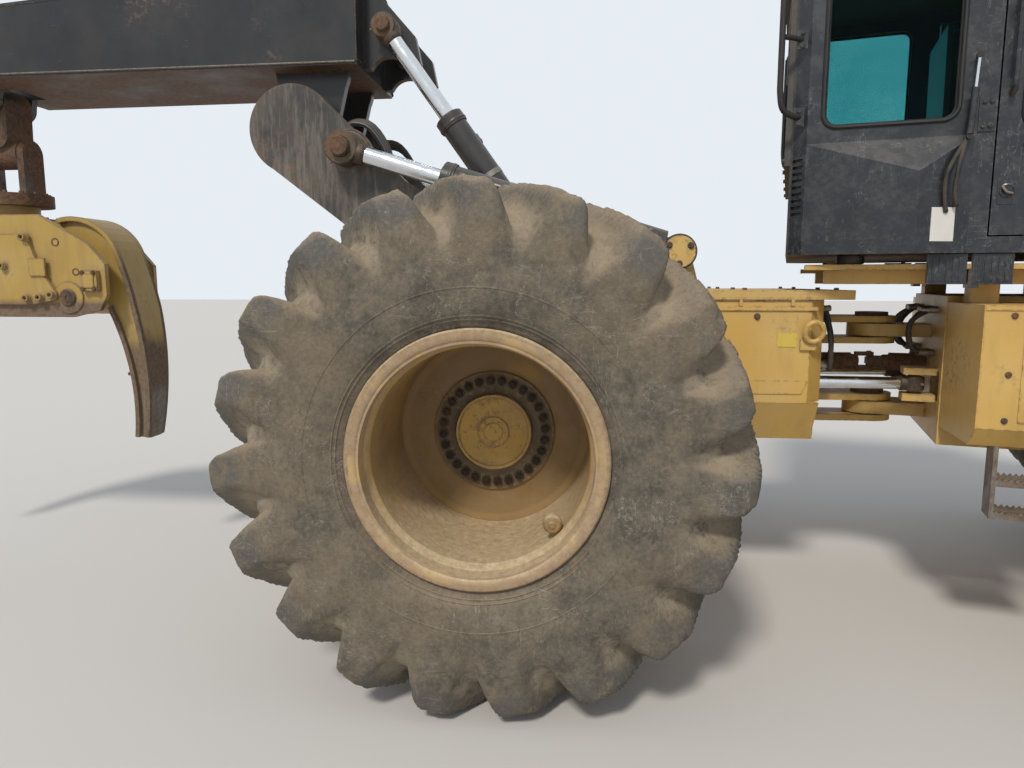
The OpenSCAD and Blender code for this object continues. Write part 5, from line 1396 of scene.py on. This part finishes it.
# The doors have a tinted pane, a welded mesh guard over it, and a paddle latch in a recess.
for side, hand in ((-1, "right"), (1, "left")):
    mirror = flipped(-side)
    pane = Part(on_front)
    pane.prism([(p[0], p[2]) for p in rounded_loop(0.401, 0.989, 2.081, 2.799, 0.049, 0)], -0.712,
               -0.706, cab_glass, mirror, 0)
    pane.finish("door_pane_" + hand, "door_" + hand, "glass")
    guard = Part(on_front)
    guard.tube(rounded_loop(0.396, 0.994, 2.076, 2.804, 0.054, -CAB_Y - 0.001), 0.009, window_seal,
               mirror, 8, closed=True)
    for i in range(12):
        x = 0.420 + i * 0.05
        guard.tube([(x, -0.742, 2.085), (x, -0.742, 2.795)], 0.0028, black_paint, mirror, 6)
    for i in range(14):
        z = 2.105 + i * 0.052
        guard.tube([(0.405, -0.7465, z), (0.985, -0.7465, z)], 0.0028, black_paint, mirror, 6)
    guard.tube(rounded_loop(0.404, 0.986, 2.084, 2.796, 0.046, -0.744), 0.006, black_paint, mirror,
               8, closed=True)
    guard.box((0.332, -0.7380, 1.800), (0.392, -0.7330, 1.900), cab_paint, mirror, 0.003)
    guard.lathe([(0.026, 0), (0.026, 0.006), (0.021, 0.008), (0.021, 0.003), (0, 0.003)], cab_paint,
                mirror @ shifted(0.362, -0.7375, 1.850) @ across, 24)
    guard.tube([(0.344, -0.747, 1.866), (0.352, -0.752, 1.852), (0.362, -0.752, 1.842),
                (0.380, -0.747, 1.838)], 0.005, worn_steel, mirror, 8, smooth_path=12)
    guard.tube([(0.352, -0.735, 2.20), (0.352, -0.772, 2.215), (0.352, -0.780, 2.27),
                (0.352, -0.780, 2.56), (0.352, -0.772, 2.615), (0.352, -0.735, 2.63)], 0.010,
               cab_paint, mirror, 10, smooth_path=26)
    guard.finish("door_guard_" + hand, "door_" + hand, "black")

# The rear window has a pivoting wiper, and its steel screen is bolted on along its top and
# its bottom.
wiper = Part(on_front)
wiper.tube([(CAB_REAR - 0.024, 0.02, 2.895), (CAB_REAR - 0.030, 0.01, 2.80),
            (CAB_REAR - 0.030, -0.10, 2.45)], 0.006, black_paint, sides=8, smooth_path=14)
wiper.finish("rear_wiper", "front_frame", "black")
bolt_heads("screen_bolts", "front_frame", "black", 0.010, cab_paint,
           [((CAB_REAR - 0.022, y, z), (-1, 0, 0)) for y in (-0.655, -0.33, 0, 0.33, 0.655)
            for z in (2.010, 2.885)], on_front)

# The seat is vinyl over foam on a steel plinth. Its cushion and back are crowned pads with sewn
# channels, and the armrests are padded too.
def seat_vinyl():
    s = Surface("seat_vinyl", 0.55)
    grain = s.node("ShaderNodeTexVoronoi", {"Vector": s.place, "Scale": 420.0}).outputs["Distance"]
    worn = s.step(s.noise(8, 5, seed=2.0), 0.45, 0.7)
    s.colour = s.mix(worn, (0.028, 0.028, 0.030), (0.075, 0.068, 0.060))
    s.coat(s.attribute("seam"), (0.010, 0.010, 0.010))
    s.bump(grain, 0.0006)
    return s.finish(s.blend(worn, 0.48, 0.75))


vinyl = seat_vinyl()
PAD_STEPS = 56


def channelled_pad(name, matrix, size, crown, channels):
    """A crowned pad: superellipse plan, full middle, pulled-in edge and sewn channels across."""
    steps = range(PAD_STEPS + 1)
    points, seam = [], []
    for top in (1, -1):
        for u, v in ((2 * i / PAD_STEPS - 1, 2 * j / PAD_STEPS - 1) for i in steps for j in steps):
            round_plan = math.sqrt(1 - 0.32 * v * v * u * u)
            edge = max(abs(u), abs(v))
            height = (1 - edge ** 5) ** 0.5 if edge < 1 else 0.0
            sewn = max([0.0] + [math.exp(-((u - c) / 0.022) ** 2) for c in channels])
            if top > 0:
                swell = crown * (1 - u * u) * (1 - v * v)
                lift = size[2] / 2 * height + swell - 0.012 * sewn * height
            else:
                lift = -size[2] / 2 * height * 0.9
            points.append((u * round_plan * size[0] / 2, v * round_plan * size[1] / 2, lift))
            seam.append(sewn if top > 0 else 0.0)
    faces, row = [], PAD_STEPS + 1
    for first in (0, row * row):
        for a in (first + i * row + j for i in range(PAD_STEPS) for j in range(PAD_STEPS)):
            quad = (a, a + row, a + row + 1, a + 1)
            faces.append(quad if first == 0 else quad[::-1])
    mesh = bpy.data.meshes.new(name)
    mesh.from_pydata([tuple(matrix @ Vector(p)) for p in points], [], faces)
    mesh.attributes.new("seam", "FLOAT", "POINT").data.foreach_set("value", seam)
    face_outward(mesh, weld=0.0004)
    smooth_all(mesh)
    mesh.materials.append(vinyl)
    return mesh


CAB_FLOOR = 1.620
ARMREST = (0.400, 0.056, 0.048)
pads = [
    ("seat_cushion", shifted(0.530, 0, CAB_FLOOR + 0.372) @ spun(0.03, "Y"),
     (0.510, 0.505, 0.088), 0.016, (-0.45, 0.0, 0.45)),
    ("seat_back", shifted(0.272, 0, CAB_FLOOR + 0.700) @ spun(math.radians(86), "Y"),
     (0.640, 0.470, 0.090), 0.012, (-0.5, -0.1, 0.35)),
    ("armrest_right", shifted(0.450, -0.270, CAB_FLOOR + 0.584), ARMREST, 0.004, ()),
    ("armrest_left", shifted(0.450, 0.270, CAB_FLOOR + 0.584), ARMREST, 0.004, ()),
]
for name, matrix, size, crown, channels in pads:
    mesh = channelled_pad(name, on_front @ matrix, size, crown, channels)
    stands_for = ["seat"] if name == "seat_cushion" else []
    piece = place_piece(mesh, name, "front_frame", "upholstery", *stands_for)
seat_frame = Part(on_front)
seat_frame.prism([(0.320, CAB_FLOOR + 0.042), (0.690, CAB_FLOOR + 0.042),
                  (0.660, CAB_FLOOR + 0.110), (0.640, CAB_FLOOR + 0.290),
                  (0.360, CAB_FLOOR + 0.290), (0.345, CAB_FLOOR + 0.110)], -0.180, 0.180,
                 black_paint, bevel=0.010)
seat_frame.box((0.290, -0.240, CAB_FLOOR + 0.290), (0.770, 0.240, CAB_FLOOR + 0.328), black_paint,
               bevel=0.008)
seat_frame.prism([(0.212, CAB_FLOOR + 0.36), (0.236, CAB_FLOOR + 0.36), (0.226, CAB_FLOOR + 1.0),
                  (0.206, CAB_FLOOR + 1.0)], -0.225, 0.225, black_paint, bevel=0.008)
for side in (-1, 1):
    seat_frame.tube([(0.240, side * 0.262, CAB_FLOOR + 0.40),
                     (0.255, side * 0.268, CAB_FLOOR + 0.55),
                     (0.330, side * 0.270, CAB_FLOOR + 0.562),
                     (0.600, side * 0.270, CAB_FLOOR + 0.562)], 0.012, black_paint, sides=10,
                    smooth_path=20)
    seat_frame.tube([(0.575, side * 0.270, CAB_FLOOR + 0.600),
                     (0.580, side * 0.270, CAB_FLOOR + 0.690)], 0.007, dark_iron, sides=8)
    seat_frame.lathe([(0, 0.085), (0.014, 0.086), (0.021, 0.100), (0.019, 0.125), (0.010, 0.136),
                      (0, 0.137)], vinyl, shifted(0.576, side * 0.270, CAB_FLOOR + 0.600), 20)
seat_frame.finish("seat_frame", "front_frame", "black")

# The hood is folded sheet with louvre vanes down each side, lift handles and latches, and the
# grille in front has a wire mesh behind its bars.
HOOD_SIDE, HOOD_BACK = 0.500, 1.180
hood_trim = Part(on_front)
for side in (-1, 1):
    mirror = flipped(-side)
    for i in range(12):
        x = 1.500 + i * 0.066
        vane = [(x - 0.004, -HOOD_SIDE + 0.004, 1.752), (x - 0.004, -HOOD_SIDE + 0.004, 2.058),
                (x + 0.036, -HOOD_SIDE - 0.016, 2.050), (x + 0.036, -HOOD_SIDE - 0.016, 1.760)]
        vane += [(x, y + 0.0035, z) for x, y, z in vane]
        hood_trim.add(vane, [(0, 1, 2, 3), (7, 6, 5, 4), (0, 4, 5, 1), (1, 5, 6, 2), (2, 6, 7, 3),
                             (3, 7, 4, 0)], yellow_paint, mirror)
    hood_trim.tube([(x, -HOOD_SIDE - 0.001, z) for x, z in ((1.450, 1.700), (2.330, 1.700),
                                                            (2.330, 2.105), (1.450, 2.105))], 0.005,
                   window_seal, mirror, 8, closed=True)
    for x in (1.480, 2.270):
        hood_trim.box((x, -HOOD_SIDE - 0.009, 1.712), (x + 0.032, -HOOD_SIDE + 0.001, 1.746),
                      dark_iron, mirror, 0.003)
    hood_trim.tube([(1.860, -HOOD_SIDE - 0.001, 1.600), (1.862, -HOOD_SIDE - 0.034, 1.604),
                    (1.885, -HOOD_SIDE - 0.040, 1.606), (1.975, -HOOD_SIDE - 0.040, 1.606),
                    (1.998, -HOOD_SIDE - 0.034, 1.604), (2.000, -HOOD_SIDE - 0.001, 1.600)], 0.0075,
                   black_paint, mirror, 10, smooth_path=26)
    hood_trim.box((HOOD_BACK + 0.002, -HOOD_SIDE - 0.0035, 1.470),
                  (HOOD_BACK + 0.030, -HOOD_SIDE + 0.001, 2.165), window_seal, mirror, 0.001)
    hood_trim.box((2.425, -HOOD_SIDE - 0.0035, 1.560), (2.640, -HOOD_SIDE + 0.001, 1.860),
                  yellow_paint, mirror, 0.003)
hood_trim.finish("hood_trim", "front_frame", "yellow")
bolt_heads("hood_bolts", "front_frame", "iron", 0.009, dark_iron,
           side_bolts(0.5005, [(x, z) for x in (1.25, 1.42, 2.38, 2.66) for z in (1.50, 2.10)])
           + side_bolts(0.5040, [(x, z) for x in (2.445, 2.620) for z in (1.580, 1.840)]), on_front)
grille_mesh = Part(on_front)
for i in range(41):
    y = -0.420 + i * 0.021
    grille_mesh.tube([(2.706, y, 1.505), (2.706, y, 2.095)], 0.0016, dark_iron, sides=5)
for i in range(28):
    z = 1.515 + i * 0.0212
    grille_mesh.tube([(2.7085, -0.425, z), (2.7085, 0.425, z)], 0.0016, dark_iron, sides=5)
grille_mesh.finish("grille_mesh", "front_frame", "iron")
bolt_heads("grille_bolts", "front_frame", "iron", 0.010, dark_iron, [
    ((2.7403, y, z), (1, 0, 0)) for y in (-0.470, 0, 0.470) for z in (1.478, 2.132)], on_front)


# The exhaust has a slotted heat shield over its muffler and has burnt to rust above. The intake
# carries a pre-cleaner bowl with a band clamp.
def burnt_steel():
    s = Surface("burnt_steel", 0.7)
    fine = s.noise(50, 6, rough=0.7)
    hot = s.plus(s.step(s.at("Z"), 2.55, 2.95), s.times(s.minus(s.noise(7, 5), 0.5), 0.9))
    s.colour = s.mix(s.step(fine, 0.3, 0.7), (0.030, 0.028, 0.027), (0.060, 0.052, 0.046))
    s.coat(s.step(hot, 0.3, 0.7), s.mix(s.step(fine, 0.3, 0.7), (0.13, 0.055, 0.028),
                                        (0.30, 0.15, 0.075)))
    s.bump(fine, 0.0015)
    return s.finish(s.blend(hot, 0.55, 0.9))


burnt = burnt_steel()
dress("stacks", burnt)
STACK_FOOT = 2.190
stack_trim = Part(on_front)
exhaust = shifted(1.450, -0.300, STACK_FOOT)
for z in (0.215, 0.530):
    stack_trim.lathe([(0.0845, z - 0.010), (0.0880, z - 0.009), (0.0880, z + 0.009),
                      (0.0845, z + 0.010)], worn_steel, exhaust, 40)
for a in turns(20):
    stack_trim.box((0.0840, -0.0085, 0.235), (0.0905, 0.0085, 0.510), burnt, exhaust @ spun(a, "Z"),
                   0.002)
stack_trim.lathe([(0.0548, 0.700), (0.0580, 0.702), (0.0580, 0.722), (0.0548, 0.724)], worn_steel,
                 exhaust, 32)
intake = shifted(1.450, 0.280, STACK_FOOT)
stack_trim.lathe([(0.0695, 0.300), (0.0735, 0.302), (0.0735, 0.322), (0.0695, 0.324)], worn_steel,
                 intake, 32)
stack_trim.lathe([(0.1295, 0.428), (0.1325, 0.432), (0.1325, 0.446), (0.1295, 0.450)], worn_steel,
                 intake, 48)
for a in turns(24):
    stack_trim.box((0.114, -0.003, 0.4805), (0.1285, 0.003, 0.5085), burnt, intake @ spun(a, "Z"),
                   0.0006)
stack_trim.lathe([(0.012, 0.559), (0.012, 0.572), (0.018, 0.574), (0.018, 0.584), (0, 0.586)],
                 dark_iron, intake, 16)
stack_trim.finish("stack_trim", "front_frame", "black")

# The blade is a curved plate with a bolted cutting edge of bare steel, scraped clean across its
# face, and the push arms behind it have pin caps.
blade_paint = scraped_yellow("blade_paint", 0.75, 0.45, 0.62, 0.36)
dress("blade", blade_paint)
BLADE_AXIS, BOLT_R = (3.950, 0.700), 0.715
EDGE_ROWS = [math.radians(angle) for angle in (203.5, 208.5)]
bolt_heads("blade_edge_bolts", "blade", "iron", 0.014, worn_steel, [
    ((x, y, z), (-math.cos(a), 0, -math.sin(a))) for y in np.linspace(-1.27, 1.27, 17)
    for a, (x, z) in zip(EDGE_ROWS, ring(*BLADE_AXIS, BOLT_R, EDGE_ROWS))], on_front)
blade_trim = Part(on_front)
for side in (-1, 1):
    cap = side_face(2.250, 0.800, 0.530, side)
    blade_trim.lathe([(0.084, -0.002), (0.084, 0.006), (0.078, 0.010), (0.052, 0.010),
                      (0.052, 0.016), (0.044, 0.018), (0, 0.018)], rusty_boss, cap, 40)
blade_trim.finish("blade_pin_caps", "blade", "iron")
weld_beads("blade_welds", "blade", "yellow", blade_paint, [
    [(3.130 + 0.02 * k / 5, side * (rib * 1.330 + hand * 0.014), 0.560 + 0.056 * k)
     for k in range(6)] for side in (-1, 1) for rib in (0.5, 0.75) for hand in (-1, 1)], on_front)

# Each axle has two rings of bolts on either side, round the differential's bowl and out by the
# wheel. A drain plug sits under the bowl.
for name, half, along, body in (("rear", on_rear, 0, "rear_frame"),
                                ("front", on_front, HALF_BASE, "front_frame")):
    places = []
    for side in (-1, 1):
        places += [((x, side * 0.100, z), (0, side, 0))
                   for x, z in ring(along, AXLE_Z, 0.205, turns(20))]
        places += [((x, side * 0.6185, z), (0, -side, 0))
                   for x, z in ring(along, AXLE_Z, 0.172, turns(16))]
    bolt_heads(name + "_axle_bolts", body, "iron", 0.012, dark_iron, places, half)
    case = Part(half @ shifted(along, 0, AXLE_Z))
    for side in (-1, 1):
        case.lathe([(r, side * y) for r, y in ((0.190, 0.080), (0.222, 0.080), (0.226, 0.084),
                                               (0.226, 0.096), (0.222, 0.100), (0.190, 0.100))],
                   yellow_paint, across, 48)
    case.lathe([(0, -0.225), (0.024, -0.224), (0.024, -0.232), (0, -0.232)], dark_iron, Matrix(), 6)
    case.finish(name + "_axle_flanges", body, "yellow")
